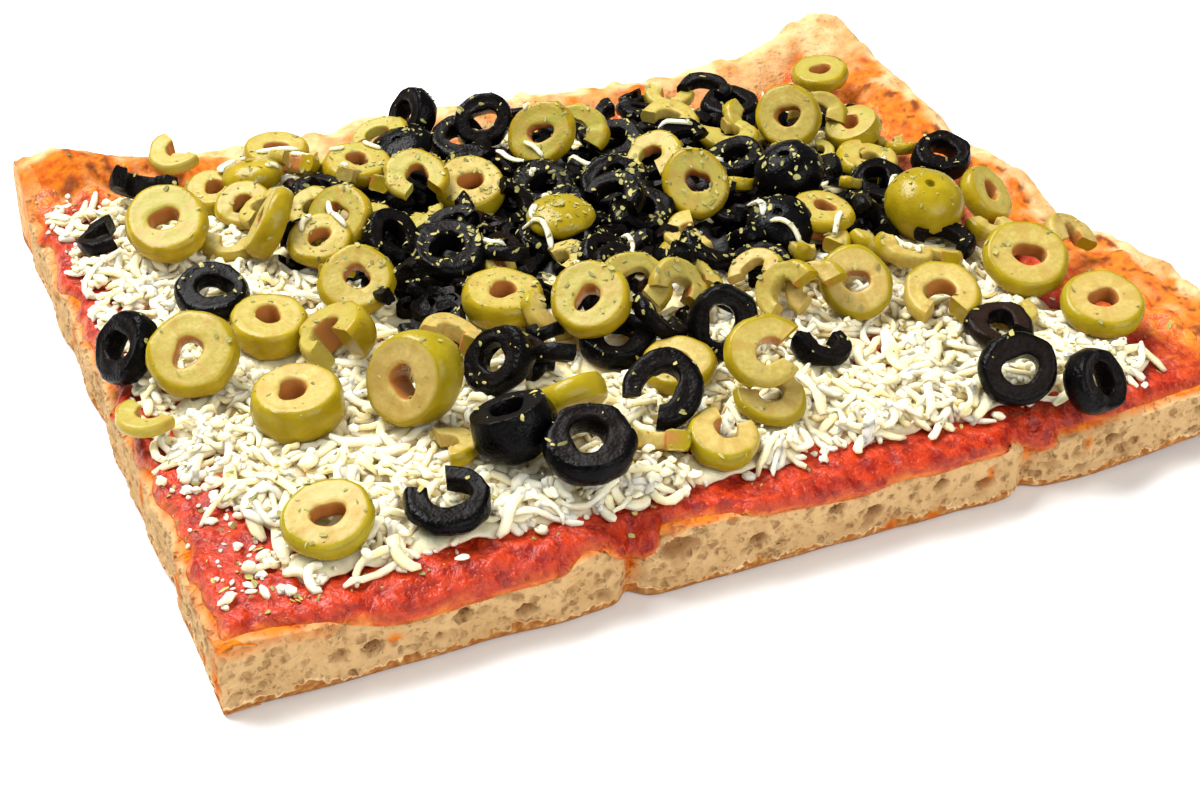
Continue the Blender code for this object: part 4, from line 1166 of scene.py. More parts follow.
def black_finish():
    finish = Finish("black_olive_wet", 0.3, Specular_IOR_Level=0.07)
    cloud = finish.noise(4.0, 3.0)
    grain = finish.noise(0.7, 3.0)
    skin = finish.mix(finish.ramp(cloud, 0.35, 0.7), (0.0012, 0.001, 0.001), (0.004, 0.0033, 0.0038))
    flesh = finish.mix(finish.ramp(grain, 0.35, 0.7), (0.002, 0.0015, 0.0013), (0.008, 0.0055, 0.0045))
    colour = finish.mix(finish.attribute("flesh"), skin, flesh)
    colour = finish.mix(finish.attribute("pit"), colour, (0.004, 0.003, 0.003))
    brown = finish.ramp(finish.attribute("tone"), 0.7, 0.95, 0.0, 0.55)
    brown = finish.math("MULTIPLY", brown, finish.attribute("flesh"))
    colour = finish.mix(brown, colour, (0.045, 0.02, 0.012))
    normal = finish.bump(cloud, 0.7, 0.7)
    normal = finish.bump(grain, 0.3, 0.7, normal)
    rough = finish.ramp(finish.attribute("flesh"), 0.0, 1.0, 0.18, 0.38)
    return finish.finish(colour, normal, rough)


green_material = green_finish()
black_material = black_finish()

# %% [markdown]
# ## Turned masters
# A slice is a section spun round the axis of the olive. Its corners are rounded where the knife
# went through, and its skin bulges like a barrel. Each shape is turned once in each colour, with
# a circle as the start of its section. Copies are then stretched, dented and wrinkled one by one.

# %% Olive masters
MASTER_RADIUS = 9.0
MASTER_HALF = 2.5
TURN_STEPS = 40


def slice_section(bore):
    """Points of (distance, height) round the section of a slice, corner by corner."""
    r, h = MASTER_RADIUS, MASTER_HALF
    face = r * BARREL
    wall = [(bore + 0.1 * abs(k) / 2.0, h * 0.40 * k) for k in (-2, -1, 0, 1, 2)]
    top = [(bore + 0.4, h * 0.93), (bore + 1.0, h), (0.55 * bore + 0.45 * face, h - 0.14),
           (0.25 * bore + 0.75 * face, h - 0.12), (face - 0.55, h), (face - 0.05, h * 0.95)]
    skin = []
    for k in (5, 3, 1, -1, -3, -5):
        share = k / 6.0
        skin.append((face + (r - face) * (1.0 - share * share), h * share * 1.08))
    bottom = [(a, -b) for a, b in reversed(top)]
    return wall + top + skin + bottom


def end_section():
    r, h = MASTER_RADIUS, MASTER_HALF
    face = r * BARREL
    flat = [(0.0, -h), (0.3 * face, -h + 0.15), (0.6 * face, -h + 0.1), (face - 0.35, -h),
            (face + 0.05, -h * 0.96)]
    dome = [(r * 0.95, -0.62 * h), (r, -0.25 * h), (0.95 * r, 0.12 * h), (0.84 * r, 0.46 * h),
            (0.66 * r, 0.72 * h), (0.42 * r, 0.9 * h), (0.22 * r, 0.98 * h), (0.13 * r, 0.94 * h),
            (0.1 * r, 0.7 * h), (0.0, 0.62 * h)]
    return flat + dome


def cup_section(bore):
    r, h = MASTER_RADIUS, MASTER_HALF
    face = r * BARREL
    dome = [(0.0, -h), (0.25 * r, -0.97 * h), (0.5 * r, -0.86 * h), (0.75 * r, -0.62 * h),
            (0.92 * r, -0.28 * h), (r, 0.1 * h), (0.97 * r, 0.5 * h), (face + 0.25, 0.86 * h),
            (face + 0.05, 0.97 * h)]
    rim = [(face - 0.35, h), (0.5 * (face + bore), h - 0.1), (bore + 0.8, h), (bore + 0.3, 0.97 * h)]
    hollow = [(bore, 0.8 * h), (bore * 0.95, 0.3 * h), (bore * 0.7, -0.1 * h), (0.0, -0.2 * h)]
    return dome + rim + hollow


def turn_master(name, section, sweep):
    start_fresh()
    bpy.ops.mesh.primitive_circle_add(vertices=len(section), radius=1.0, fill_type="NOTHING")
    master = bpy.context.object
    master.name = name
    set_points(master.data, np.array([(r, 0.0, z) for r, z in section]))
    bpy.ops.object.mode_set(mode="EDIT")
    bpy.ops.mesh.select_all(action="SELECT")
    steps = round(TURN_STEPS * sweep / (2 * pi))
    bpy.ops.mesh.spin(steps=steps, angle=sweep, center=(0, 0, 0), axis=(0, 0, 1))
    bpy.ops.mesh.select_all(action="SELECT")
    bpy.ops.mesh.remove_doubles(threshold=1e-3)
    bpy.ops.mesh.dissolve_degenerate()
    bpy.ops.mesh.delete_loose()
    bpy.ops.mesh.select_mode(type="FACE")
    bpy.ops.mesh.select_all(action="SELECT")
    bpy.ops.mesh.fill_holes(sides=0)
    bpy.ops.mesh.select_all(action="DESELECT")
    bpy.ops.mesh.select_face_by_sides(number=8, type="GREATER")
    bpy.ops.mesh.inset(thickness=0.3, depth=0.0)
    leave_outwards()
    back = np.array(Matrix.Rotation(-sweep / 2, 3, "Z"))
    points, faces = points_of(master.data) @ back.T, faces_of(master.data)
    bpy.data.objects.remove(master)
    return round_ends(points, sweep), faces


def round_ends(points, sweep):
    """Draw the section in a little towards each end of a piece that isn't a whole ring."""
    if sweep > 6.0:
        return points
    rad = np.hypot(points[:, 0], points[:, 1])
    turn = np.arctan2(points[:, 1], points[:, 0])
    to_end = np.clip((sweep / 2 - np.abs(turn)) / radians(16), 0.0, 1.0)
    keep = 0.80 + 0.20 * np.sqrt(to_end)
    middle = MASTER_RADIUS * 0.65
    share = (middle + (rad - middle) * keep) / np.maximum(rad, 0.01)
    return points * np.stack((share, share, keep), axis=1)


def zones(points, bore, shape, sweep):
    """Which points are flesh and which are on the stone's wall."""
    rad = np.hypot(points[:, 0], points[:, 1])
    face = MASTER_RADIUS * BARREL
    height = np.abs(points[:, 2])
    turn = np.arctan2(points[:, 1], points[:, 0])
    cut = (rad < face - 0.2) & (height > MASTER_HALF * 0.85)
    wall = rad < bore + 0.36
    if shape == "end":
        wall = np.zeros(len(points), bool)
        cut = (rad < face - 0.2) & (points[:, 2] < -MASTER_HALF * 0.9)
    if shape == "cup":
        wall &= points[:, 2] > -0.3 * MASTER_HALF
        cut &= points[:, 2] > 0
    if sweep < 6.0:
        ends = (np.abs(turn) > sweep / 2 - 1e-3) & (rad < MASTER_RADIUS * 0.955)
        ends &= height < MASTER_HALF * 0.95
        cut |= ends & (rad > bore + 0.25)
    paler = 1.0 - 0.45 * np.clip((rad - 0.72 * face) / (0.28 * face), 0.0, 1.0) ** 2
    return (cut & ~wall) * paler, wall.astype(float)


masters = {}


def master_for(olive):
    key = (olive.colour, olive.shape)
    if key not in masters:
        bore = MASTER_RADIUS * (GREEN_HOLE if olive.colour == "green" else BLACK_HOLE)
        section = {"end": end_section(), "cup": cup_section(bore)}.get(olive.shape)
        section = section or slice_section(bore)
        points, faces = turn_master("turned_" + olive.shape, section, olive.sweep)
        masters[key] = (points, faces, *zones(points, bore, olive.shape, olive.sweep), bore)
    return masters[key]


def varied(olive, draw):
    """One olive's own points: stretched to its size, then dented, bent and wrinkled."""
    base, faces, flesh, pit, bore = master_for(olive)
    points = base.copy()
    rad = np.hypot(points[:, 0], points[:, 1])
    inner = np.clip(1.0 - (rad - bore) / (MASTER_RADIUS * 0.5), 0.0, 1.0)
    if olive.shape in ("ring", "cup", "open", "half"):
        sway = draw.uniform(0, 2 * pi)
        points[:, 0] += inner * 0.8 * cos(sway) * draw.random()
        points[:, 1] += inner * 0.8 * sin(sway) * draw.random()
        turn = np.arctan2(base[:, 1], base[:, 0])
        dents = 1.0 + inner * (0.15 * np.sin(2 * turn + sway) + 0.06 * np.sin(3 * turn + 2 * sway))
        points[:, :2] *= dents[:, None]
    oval = draw.uniform(-0.07, 0.07)
    points[:, 0] *= 1.0 + oval
    points[:, 1] *= 1.0 - oval
    points[:, :2] *= olive.width / (2 * MASTER_RADIUS)
    wedge = 1.0 + draw.uniform(-0.16, 0.16) * points[:, 0] / (olive.width / 2)
    points[:, 2] *= wedge * olive.thick / (2 * MASTER_HALF)
    bend = draw.uniform(-0.5, 0.5) * (1.0 if olive.thick < 7 else 0.3)
    span = (olive.width / 2) ** 2
    points[:, 2] += bend * (points[:, 0] ** 2 - points[:, 1] ** 2) / span
    crease = 0.17 if olive.colour == "black" else 0.11
    seed = draw.uniform(0, 500)
    for index, point in enumerate(points):
        place = Vector(point) + Vector((seed, 0, 0))
        push = noise.noise(place / 4.6) * crease * 3.6 + noise.noise(place / 1.6) * crease
        length = max(0.5, (point[0] ** 2 + point[1] ** 2) ** 0.5)
        out = 1.0 if rad[index] > bore + 1.0 else -1.0
        points[index, 0] += point[0] / length * push * out
        points[index, 1] += point[1] / length * push * out
        points[index, 2] += 0.6 * push * (1.0 if point[2] > 0 else -1.0)
    moved = olive.turned(points) + np.array(olive.centre())
    frontness = 1.0 - smooth((olive.centre().y - 20.0) / 110.0)
    tone = np.full(len(points), 0.65 * draw.random() + 0.35 * frontness)
    rays = [0.5 + noise.noise(Vector((3.0 * cos(t), 3.0 * sin(t), seed + 0.05 * r)))
            for t, r in zip(np.arctan2(base[:, 1], base[:, 0]), rad)]
    return moved, faces, {"flesh": flesh, "pit": pit, "tone": tone, "ray": np.array(rays)}


# %% [markdown]
# ## Joining copies
# Many small things make one piece per kind. Their points and faces are gathered in lists, and a
# new mesh is filled in one go. The same helper serves olives, cheese, crumbs and herbs.


# %% Gather copies into one piece
class Gathered:
    """Copies that together become one mesh, with their attributes."""

    def __init__(self):
        self.points, self.faces, self.tints, self.count = [], [], {}, 0

    def take(self, points, faces, tints):
        self.points.append(points)
        self.faces += [tuple(index + self.count for index in face) for face in faces]
        for name, values in tints.items():
            self.tints.setdefault(name, []).append(values)
        self.count += len(points)

    def build(self, name, smooth_below=50):
        mesh = bpy.data.meshes.new(name)
        everything = np.vstack(self.points)
        mesh.from_pydata(everything.tolist(), [], self.faces)
        place_in_frame(mesh, everything)
        for tint, values in self.tints.items():
            add_attribute(mesh, tint, np.concatenate(values))
        item = bpy.data.objects.new(name, mesh)
        bpy.context.scene.collection.objects.link(item)
        work_on(item)
        bpy.ops.object.shade_smooth_by_angle(angle=radians(smooth_below))
        return item


def dress_olives():
    draw = random.Random(5)
    for olive in apart:
        one = Gathered()
        one.take(*varied(olive, draw))
        item = one.build(olive.name.replace("_olive_", "_slice_"))
        material = green_material if olive.colour == "green" else black_material
        finish_piece(item, material, olive.colour + "_olive", olive.name)
    for colour, material in (("green", green_material), ("black", black_material)):
        pile = Gathered()
        for olive in heap + more:
            if olive.colour == colour:
                pile.take(*varied(olive, draw))
        item = pile.build("heap_" + colour + "_olives")
        finish_piece(item, material, colour + "_olive", "olive_heap")


dress_olives()

# %% [markdown]
# ## Grated cheese
# The cheese came off a coarse grater: soft, pale strips about two millimetres across that curl,
# with short bits and grains among them. A low uneven bed closes the gaps where the cheese is
# deep. It dips under the sauce where the cover is thin, so that red shows between the strips, and
# it is piled up below the olives that lie apart, so that they rest on it.

# %% Cheese material and bed
CHEESE_START = (9.0, 9.5)
CHEESE_END = (224.0, 182.5)
BED_STEP = 1.5


def cheese_finish():
    finish = Finish("grated_cheese", 0.5, Subsurface_Weight=0.7, Subsurface_Scale=0.004,
                    Subsurface_Radius=(1.0, 0.82, 0.5), Specular_IOR_Level=0.25)
    cloud = finish.noise(5.0, 3.0)
    grain = finish.noise(0.8, 3.0)
    tone = finish.attribute("tone")
    cream = finish.mix(finish.ramp(cloud, 0.35, 0.7), (0.93, 0.79, 0.47), (0.88, 0.71, 0.36))
    cream = finish.mix(tone, cream, (0.95, 0.86, 0.62))
    cream = finish.mix(finish.attribute("blush"), cream, (0.88, 0.42, 0.27))
    # Near-black in the middle of the heap: chopped black olive and painted shade between the olives.
    cream = finish.mix(finish.attribute("dark"), cream, (0.006, 0.005, 0.004))
    normal = finish.bump(grain, 0.22, 0.5)
    return finish.finish(cream, normal)


def cheese_cover(x, y):
    """How likely cheese is at a place, from 0 for bare sauce to 1 for deep cheese."""
    wave = 3.0 * ripple(x, y, 13.0, 41.0)
    front = smooth((y - 5.0 - wave) / 6.5)
    left = 0.4 + 0.6 * smooth((x - 8.0 - wave) / 16.0)
    left *= smooth((x - 3.0) / 5.0)
    right = smooth((226.0 + wave - x) / 9.0)
    back = smooth((186.0 + wave - y) / 8.0)
    corner = 1.0 - 0.55 * exp(-((x - 8) ** 2 + (y - 12) ** 2) / 20.0 ** 2)
    thin_patch = 1.0 - 0.35 * smooth((ripple(x, y, 16.0, 43.0) - 0.15) / 0.2)
    cover = front * left * right * back * corner * thin_patch
    return max(cover, 0.9 * exp(-((x - 226) / 9.0) ** 2 - ((y - 168) / 13.0) ** 2))


PROP_LIMIT = 4.8      # an olive that lies higher than this rests on another olive
PROP_GAP = 0.3
PROP_REACH = 6.0
BED_LOW = 16.2            # the bed's height where no cheese shows


def low_points():
    """The lowest points of each slice that lies apart, where cheese is piled up to it."""
    lows = []
    for olive in apart:
        points = olive.plain()[0] + np.array(olive.centre())
        lows.append(points[points[:, 2] < points[:, 2].min() + 0.8])
    return np.vstack(lows)


def piled(x, y, height, lows):
    """Height of the bed, raised to just below the olives that lie close above it."""
    near = lows[(np.hypot(lows[:, 0] - x, lows[:, 1] - y) < PROP_REACH)
                & (lows[:, 2] - height < PROP_LIMIT)]
    if len(near) == 0:
        return height
    away = np.hypot(near[:, 0] - x, near[:, 1] - y)
    return max(height, (near[:, 2] - PROP_GAP - 0.12 * away ** 2).max())


def cheese_bed():
    lows = low_points()
    span_x, span_y = CHEESE_END[0] - CHEESE_START[0], CHEESE_END[1] - CHEESE_START[1]
    bed = grid_sheet("cheese_bed", int(span_x / BED_STEP), int(span_y / BED_STEP))
    unit = points_of(bed.data)
    out = np.empty_like(unit)
    for index, (u, v, _) in enumerate(unit):
        x, y = CHEESE_START[0] + u * span_x, CHEESE_START[1] + v * span_y
        cover = cheese_cover(x, y)
        lump = 0.8 * abs(ripple(x, y, 2.6, 44.0)) + 0.5 * ripple(x, y, 5.0, 45.0)
        rise = 2.0 * smooth((cover - 0.62) / 0.35) + lump * cover
        out[index] = (x, y, piled(x, y, min(BED_LOW + rise, CHEESE_TOP), lows))
    place_in_frame(bed.data, out)
    add_attribute(bed.data, "tone", np.full(len(out), 0.1))
    add_attribute(bed.data, "blush", (1.0 - smooth_all((out[:, 2] - 16.9) / 1.1)) * 0.6)
    apply(bed, "SOLIDIFY", thickness=0.6 * MM, offset=-1.0)
    bpy.ops.object.shade_smooth()
    return bed


cheese_material = cheese_finish()
bed = cheese_bed()
finish_piece(bed, cheese_material, "cheese", "grated_cheese")

# %% [markdown]
# ## The heap's core
# Cheese also lies between and under the heaped olives. In the middle the mound is painted near-black,
# partly as chopped black olive and partly as painted shade in the gaps between the olives. It is a low
# mound with the outline of the solid's core, as a round grid whose rim dips into the cheese around it.

# %% Heap core
CORE_AROUND = 240
CORE_OUT = 60


def heap_floor(x, y):
    sauce_top = bread_top(x, y) + GAP + SAUCE_THICK
    return max(CHEESE_TOP, sauce_top + 0.6) + 2 * GAP


def core_height(x, y):
    full = HEAP_LOW + 1.3 * ripple(x, y, 14.0, 8.0)
    return max(0.8, full * (1.0 - 0.6 * smooth((heap_share(x, y) - 0.8) / 0.2)))


def clear_of_apart(x, y):
    """How far the mound has to duck under an olive that stands apart."""
    duck = 0.0
    for olive in apart:
        at = olive.centre()
        gap = ((x - at.x) ** 2 + (y - at.y) ** 2) ** 0.5 - olive.width / 2 - 1.0
        duck = max(duck, 1.0 - smooth((gap + 1.5) / 3.0))
    return duck


def middle_of_heap(x, y):
    """1 where chopped black olive fills the gaps and the core is painted near-black as shade between
    the olives, 0 where cheese does.
    """
    share = exp(-(((x - 138) / 80.0) ** 4) - ((y - 128) / 44.0) ** 4)
    return smooth((share * (1.0 + 1.5 * ripple(x, y, 9.0, 47.0)) - 0.25) / 0.14)


def core_mound():
    mound = grid_sheet("heap_core", CORE_AROUND, CORE_OUT)
    unit = points_of(mound.data)
    out = np.empty_like(unit)
    for index, (u, v, _) in enumerate(unit):
        around = 360.0 * u
        share = max(0.004, v)
        reach = along(HEAP_REACH, around % 360.0) * share
        x = HEAP_CENTRE[0] + reach * cos(radians(around))
        y = HEAP_CENTRE[1] + reach * sin(radians(around))
        lump = 1.4 * abs(ripple(x, y, 3.6, 46.0)) - 1.4
        lump += middle_of_heap(x, y) * (3.6 * abs(ripple(x, y, 5.2, 53.0)) - 0.6)
        top = heap_floor(x, y) + core_height(x, y) + lump
        edge = smooth((share - 0.8) / 0.2)
        low = max(16.4, crust_top(x, y)) - 0.7
        sink = max(edge, clear_of_apart(x, y))
        out[index] = (x, y, top + (low - top) * sink)
    place_in_frame(mound.data, out)
    work_on(mound)
    bpy.ops.object.mode_set(mode="EDIT")
    bpy.ops.mesh.select_all(action="SELECT")
    bpy.ops.mesh.remove_doubles(threshold=0.02 * MM)
    bpy.ops.mesh.fill_holes(sides=200)
    bpy.ops.mesh.normals_make_consistent(inside=False)
    bpy.ops.object.mode_set(mode="OBJECT")
    flat = from_corner(mound)
    add_attribute(mound.data, "tone", np.full(len(flat), 0.1))
    add_attribute(mound.data, "blush", np.zeros(len(flat)))
    # The middle of the mound is painted near-black: chopped black olive and painted shade in the gaps.
    add_attribute(mound.data, "dark", [middle_of_heap(x, y) for x, y, _ in flat])
    work_on(mound)
    bpy.ops.object.shade_smooth()
    return mound


core = core_mound()
finish_piece(core, cheese_material, "cheese", "olive_heap")

# %% [markdown]
# ## Room for the strips
# A map of the slab, one cell for each square millimetre, keeps how high the cheese lies so far
# and how low the olives hang over it. A strip follows the first and stays under the second.

# %% Maps
MAP_EDGE = 6              # cells of one millimetre kept free round the slab
MAP_X, MAP_Y = int(WIDTH) + 2 * MAP_EDGE, int(DEPTH) + 2 * MAP_EDGE


def cell(x, y):
    return (min(MAP_X - 1, max(0, int(x) + MAP_EDGE)), min(MAP_Y - 1, max(0, int(y) + MAP_EDGE)))


def map_heights(trees, start, way):
    """Where a line straight up or down first meets any of the trees, for every cell."""
    found = np.full((MAP_X, MAP_Y), -99.0 if way < 0 else 99.0)
    for i in range(MAP_X):
        for j in range(MAP_Y):
            origin = Vector((i - MAP_EDGE + 0.5, j - MAP_EDGE + 0.5, start))
            for tree in trees:
                hit = tree.ray_cast(origin, Vector((0, 0, way)))[0]
                if hit is not None:
                    found[i, j] = max(found[i, j], hit.z) if way < 0 else min(found[i, j], hit.z)
    return found


# %% [markdown]
# ## Chopped black olive
# Small broken bits of black olive fill the middle of the heap. They are repeated many times, so
# each is a plain solid with few faces, crumpled by noise and bedded into the core.

# %% Chopped bits
BITS = 300
BIT_TRIES = 3000
BIT_SIDES = 14
BIT_CRUMPLE = 0.9


def chopped_bits():
    draw = random.Random(23)
    core_tree = joined_tree([core])
    neighbours = [olive for olive in apart + heap + more if olive.colour == "green"]
    pile = Gathered()
    placed = 0
    for _ in range(BIT_TRIES):
        if placed == BITS:
            break
        x, y = draw.uniform(50, 225), draw.uniform(70, 186)
        if middle_of_heap(x, y) < 0.3 or heap_share(x, y) > 0.95:
            continue
        spot = core_tree.ray_cast(Vector((x, y, 60.0)), Vector((0, 0, -1)))[0]
        row = (x, y, 20.0, draw.uniform(6.0, 11.5), draw.uniform(2.0, 3.6), draw.uniform(0, 60),
               draw.uniform(0, 360), draw.choice(("half", "half", "open", "ring")),
               draw.uniform(0, 360))
        bit = Olive(row, "black", BIT_SIDES)
        lean = sin(radians(bit.tilt))
        bit.known = Vector((x, y, spot.z + 0.3 * bit.thick + 0.25 * bit.width * lean))
        if not bit.presses_little(neighbours, 0.4):
            continue
        points, faces = bit.plain()
        reads = [Vector(p) / 2.2 + Vector((x, y, 0.0)) for p in points]
        shift = [[noise.noise(read + Vector((0.0, 0.0, layer))) for layer in (0.0, 31.0, 62.0)]
                 for read in reads]
        points = points + BIT_CRUMPLE * np.array(shift) + np.array(bit.known)
        same = np.ones(len(points))
        tints = {"flesh": same * draw.random(), "pit": same * 0.0, "tone": same * draw.random(),
                 "ray": same * 0.0}
        pile.take(points, faces, tints)
        placed += 1
    print("chopped bits", placed)
    return pile.build("chopped_black_olives", 45)


bits = chopped_bits()
finish_piece(bits, black_material, "black_olive", "olive_heap")

# %% Fill the maps
olive_items = [item for item in bpy.context.scene.objects
               if "_slice_" in item.name or item.name.endswith("_olives")]
olive_tree = joined_tree(olive_items)
ground = map_heights([joined_tree([bread, front_crumb, left_crumb, sauce, bed, core])], 60.0, -1)
ceiling = map_heights([olive_tree], 15.6, 1)
print("maps of", MAP_X, "by", MAP_Y, "cells")

# %% [markdown]
# ## Strips of cheese
# One strip is modelled from a six-sided cylinder, extruded along its length so that it can bend.
# Each copy gets its own length, curl and tilt, and settles on what lies below it, a little stiff,
# so that it bridges small hollows.

# %% Cheese strips
STRIP_STEPS = 8
STRIP_SIDES = 6
STRIPS = 1600
STRIP_TRIES = 9000
TOP_STRANDS = 34
LOWEST_GROUND = 10.0      # a cell that lies lower is beyond the slab's edge
STRIP_HEIGHT_OVER = 3.6
STRIP_BRIDGE = 3.2        # a strip that stands further off what is below it isn't laid


def strip_master():
    """A straight strip along X from 0 to 1, with a radius of 1."""
    start_fresh()
    bpy.ops.mesh.primitive_cylinder_add(vertices=STRIP_SIDES, radius=1.0, depth=1.0 / STRIP_STEPS,
                                        location=(0, 0, 0), end_fill_type="NGON")
    item = bpy.context.object
    bpy.ops.object.mode_set(mode="EDIT")
    bpy.ops.mesh.select_mode(type="FACE")
    bpy.ops.mesh.select_all(action="DESELECT")
    bpy.ops.object.mode_set(mode="OBJECT")
    for face in item.data.polygons:
        face.select = face.normal.z > 0.9
    bpy.ops.object.mode_set(mode="EDIT")
    for _ in range(STRIP_STEPS - 1):
        bpy.ops.mesh.extrude_region_move(
            TRANSFORM_OT_translate={"value": (0, 0, 1.0 / STRIP_STEPS)})
    leave_outwards()
    points = points_of(item.data)
    points[:, 2] -= points[:, 2].min()
    lying = np.stack((points[:, 2], points[:, 0], points[:, 1]), axis=1)
    faces = faces_of(item.data)
    bpy.data.objects.remove(item)
    return lying, faces


def strip_path(x, y, length, turn, curl, wave):
    """Places along the middle of a strip, and the way it runs at each."""
    share = np.linspace(0, 1, STRIP_STEPS + 1)
    heading = turn + curl * (share - 0.5) + wave * np.sin(2 * pi * share)
    step = length / STRIP_STEPS
    xs = x + np.concatenate(([0], np.cumsum(np.cos(heading[:-1]) * step)))
    ys = y + np.concatenate(([0], np.cumsum(np.sin(heading[:-1]) * step)))
    return xs - xs.mean() + x, ys - ys.mean() + y, heading


def lay_strip(master, xs, ys, zs, heading, wide, high):
    """Bend the master along the path."""
    share = np.clip(master[:, 0], 0, 1)
    index = np.round(share * STRIP_STEPS).astype(int)
    taper = 1.0 - 0.45 * (np.abs(share - 0.5) * 2) ** 8
    side = master[:, 1] * wide * taper
    up = master[:, 2] * high * taper
    out = np.empty_like(master)
    out[:, 0] = xs[index] - np.sin(heading[index]) * side
    out[:, 1] = ys[index] + np.cos(heading[index]) * side
    out[:, 2] = zs[index] + up
    return out


def settle_strip(xs, ys, high, lift):
    """Heights of a strip along its path, or None where it would press into an olive."""
    cells = [cell(a, b) for a, b in zip(xs, ys)]
    floor = np.array([ground[c] for c in cells])
    roof = np.array([ceiling[c] for c in cells])
    if floor.min() < LOWEST_GROUND:
        return None
    zs = floor + high * 0.8
    for _ in range(3):
        lean = zs.copy()
        lean[1:-1] = np.maximum(zs[1:-1], (zs[:-2] + zs[2:]) / 2 - 0.12)
        zs = lean
    zs += lift * np.linspace(-1, 1, len(zs)) ** 2
    if (zs + high > roof - 0.1).any() or zs.max() > CHEESE_TOP + STRIP_HEIGHT_OVER:
        return None
    if (zs - floor).max() > STRIP_BRIDGE:
        return None
    for (i, j), z in zip(cells, zs):
        for di, dj in ((0, 0), (1, 0), (0, 1)):
            a, b = min(MAP_X - 1, i + di), min(MAP_Y - 1, j + dj)
            ground[a, b] = max(ground[a, b], z + high * 0.4)
    return zs


def cheese_strips():
    draw = random.Random(11)
    master, faces = strip_master()
    pile = Gathered()
    placed = 0
    for _ in range(STRIP_TRIES):
        if placed == STRIPS:
            break
        x, y = draw.uniform(2, 232), draw.uniform(6, 190)
        share = cheese_cover(x, y) * (1.0 - 0.93 * middle_of_heap(x, y) * (heap_share(x, y) < 0.95))
        if draw.random() > share or ceiling[cell(x, y)] < CHEESE_TOP + 1.5:
            continue
        length = draw.choice((draw.uniform(4, 9), draw.uniform(8, 15), draw.uniform(13, 24)))
        curl = draw.gauss(0, 2.0) + (draw.choice((-3.5, 3.5)) if draw.random() < 0.12 else 0.0)
        xs, ys, heading = strip_path(x, y, length, draw.uniform(0, 2 * pi), curl,
                                     draw.uniform(-0.3, 0.3))
        if xs.min() < 2.0 or ys.min() < 5.0 or xs.max() > 236 or ys.max() > 192:
            continue
        wide = draw.choice((draw.uniform(0.6, 1.0), draw.uniform(0.9, 1.6)))
        high = draw.uniform(0.6, 1.0)
        zs = settle_strip(xs, ys, high, draw.uniform(-0.1, 0.9) if draw.random() < 0.3 else 0.0)
        if zs is None:
            continue
        shape = lay_strip(master, xs, ys, zs, heading, wide, high)
        rough = np.array([noise.noise(Vector(p) / 1.6) for p in shape])
        side = np.array([noise.noise(Vector(p) / 1.9 + Vector((9, 0, 0))) for p in shape])
        shape[:, 2] += 0.34 * rough
        shape[:, 0] += 0.34 * rough
        shape[:, 1] += 0.36 * side
        tone = np.full(len(shape), draw.random() ** 1.5)
        blush = np.clip((17.6 - shape[:, 2]) / 1.2, 0, 1) * 0.5
        pile.take(shape, faces, {"tone": tone, "blush": blush})
        placed += 1
    print("strips", placed)
    return pile.build("cheese_strips", 85)


def strands_on_top(pile_tree):
    """A few strips that fell last and lie across the olives."""
    draw = random.Random(14)
    master, faces = strip_master()
    pile = Gathered()
    placed = 0
    while placed < TOP_STRANDS:
        x, y = draw.uniform(40, 232), draw.uniform(55, 190)
        if heap_share(x, y) > 0.97:
            continue
        length, high = draw.uniform(3, 13), draw.uniform(0.5, 0.75)
        xs, ys, heading = strip_path(x, y, length, draw.uniform(0, 2 * pi), draw.gauss(0, 1.2), 0.1)
        zs = []
        for a, b in zip(xs, ys):
            spot = pile_tree.ray_cast(Vector((a, b, 80.0)), Vector((0, 0, -1)))[0]
            zs.append(spot.z + 0.7 * high if spot else 0.0)
        zs = np.array(zs)
        if zs.max() - zs.min() > 0.5 * length or zs.min() < 17 or zs.max() > 38:
            continue
        for _ in range(5):
            zs[1:-1] = np.maximum(zs[1:-1], (zs[:-2] + zs[2:]) / 2)
        shape = lay_strip(master, xs, ys, zs, heading, draw.uniform(0.6, 1.1), high)
        tone = np.full(len(shape), 0.3 + 0.7 * draw.random())
        nothing = np.zeros(len(shape))
        pile.take(shape, faces, {"tone": tone, "blush": nothing, "dark": nothing})
        placed += 1
    return pile.build("cheese_strands_on_top", 85)


strips = cheese_strips()
finish_piece(strips, cheese_material, "cheese", "grated_cheese")
strands = strands_on_top(joined_tree(olive_items + [core]))
finish_piece(strands, cheese_material, "cheese")

# %% [markdown]
# ## Grains of cheese
# The grater also leaves grains and short bits. They gather at the edges of the cheese and on the
# bare sauce. Each is a small sphere, squeezed and dented.

# %% Cheese grains
GRAINS = 1000


def ball_master(subdivisions):
    start_fresh()
    bpy.ops.mesh.primitive_ico_sphere_add(subdivisions=subdivisions, radius=1.0, location=(0, 0, 0))
    item = bpy.context.object
    points, faces = points_of(item.data), faces_of(item.data)
    bpy.data.objects.remove(item)
    return points, faces


def grain_cover(x, y):
    edge = exp(-((x - 12) / 13.0) ** 2) + 0.7 * exp(-((y - 15) / 6.0) ** 2) * smooth((230 - x) / 8)
    clump = smooth((ripple(x, y, 5.0, 52.0) + 0.35) / 0.4) * (1.0 - 0.95 * middle_of_heap(x, y))
    return min(1.0, 0.22 + edge) * smooth((x - 1.5) / 5.0) * smooth((y - 4.0) / 8.0) * clump


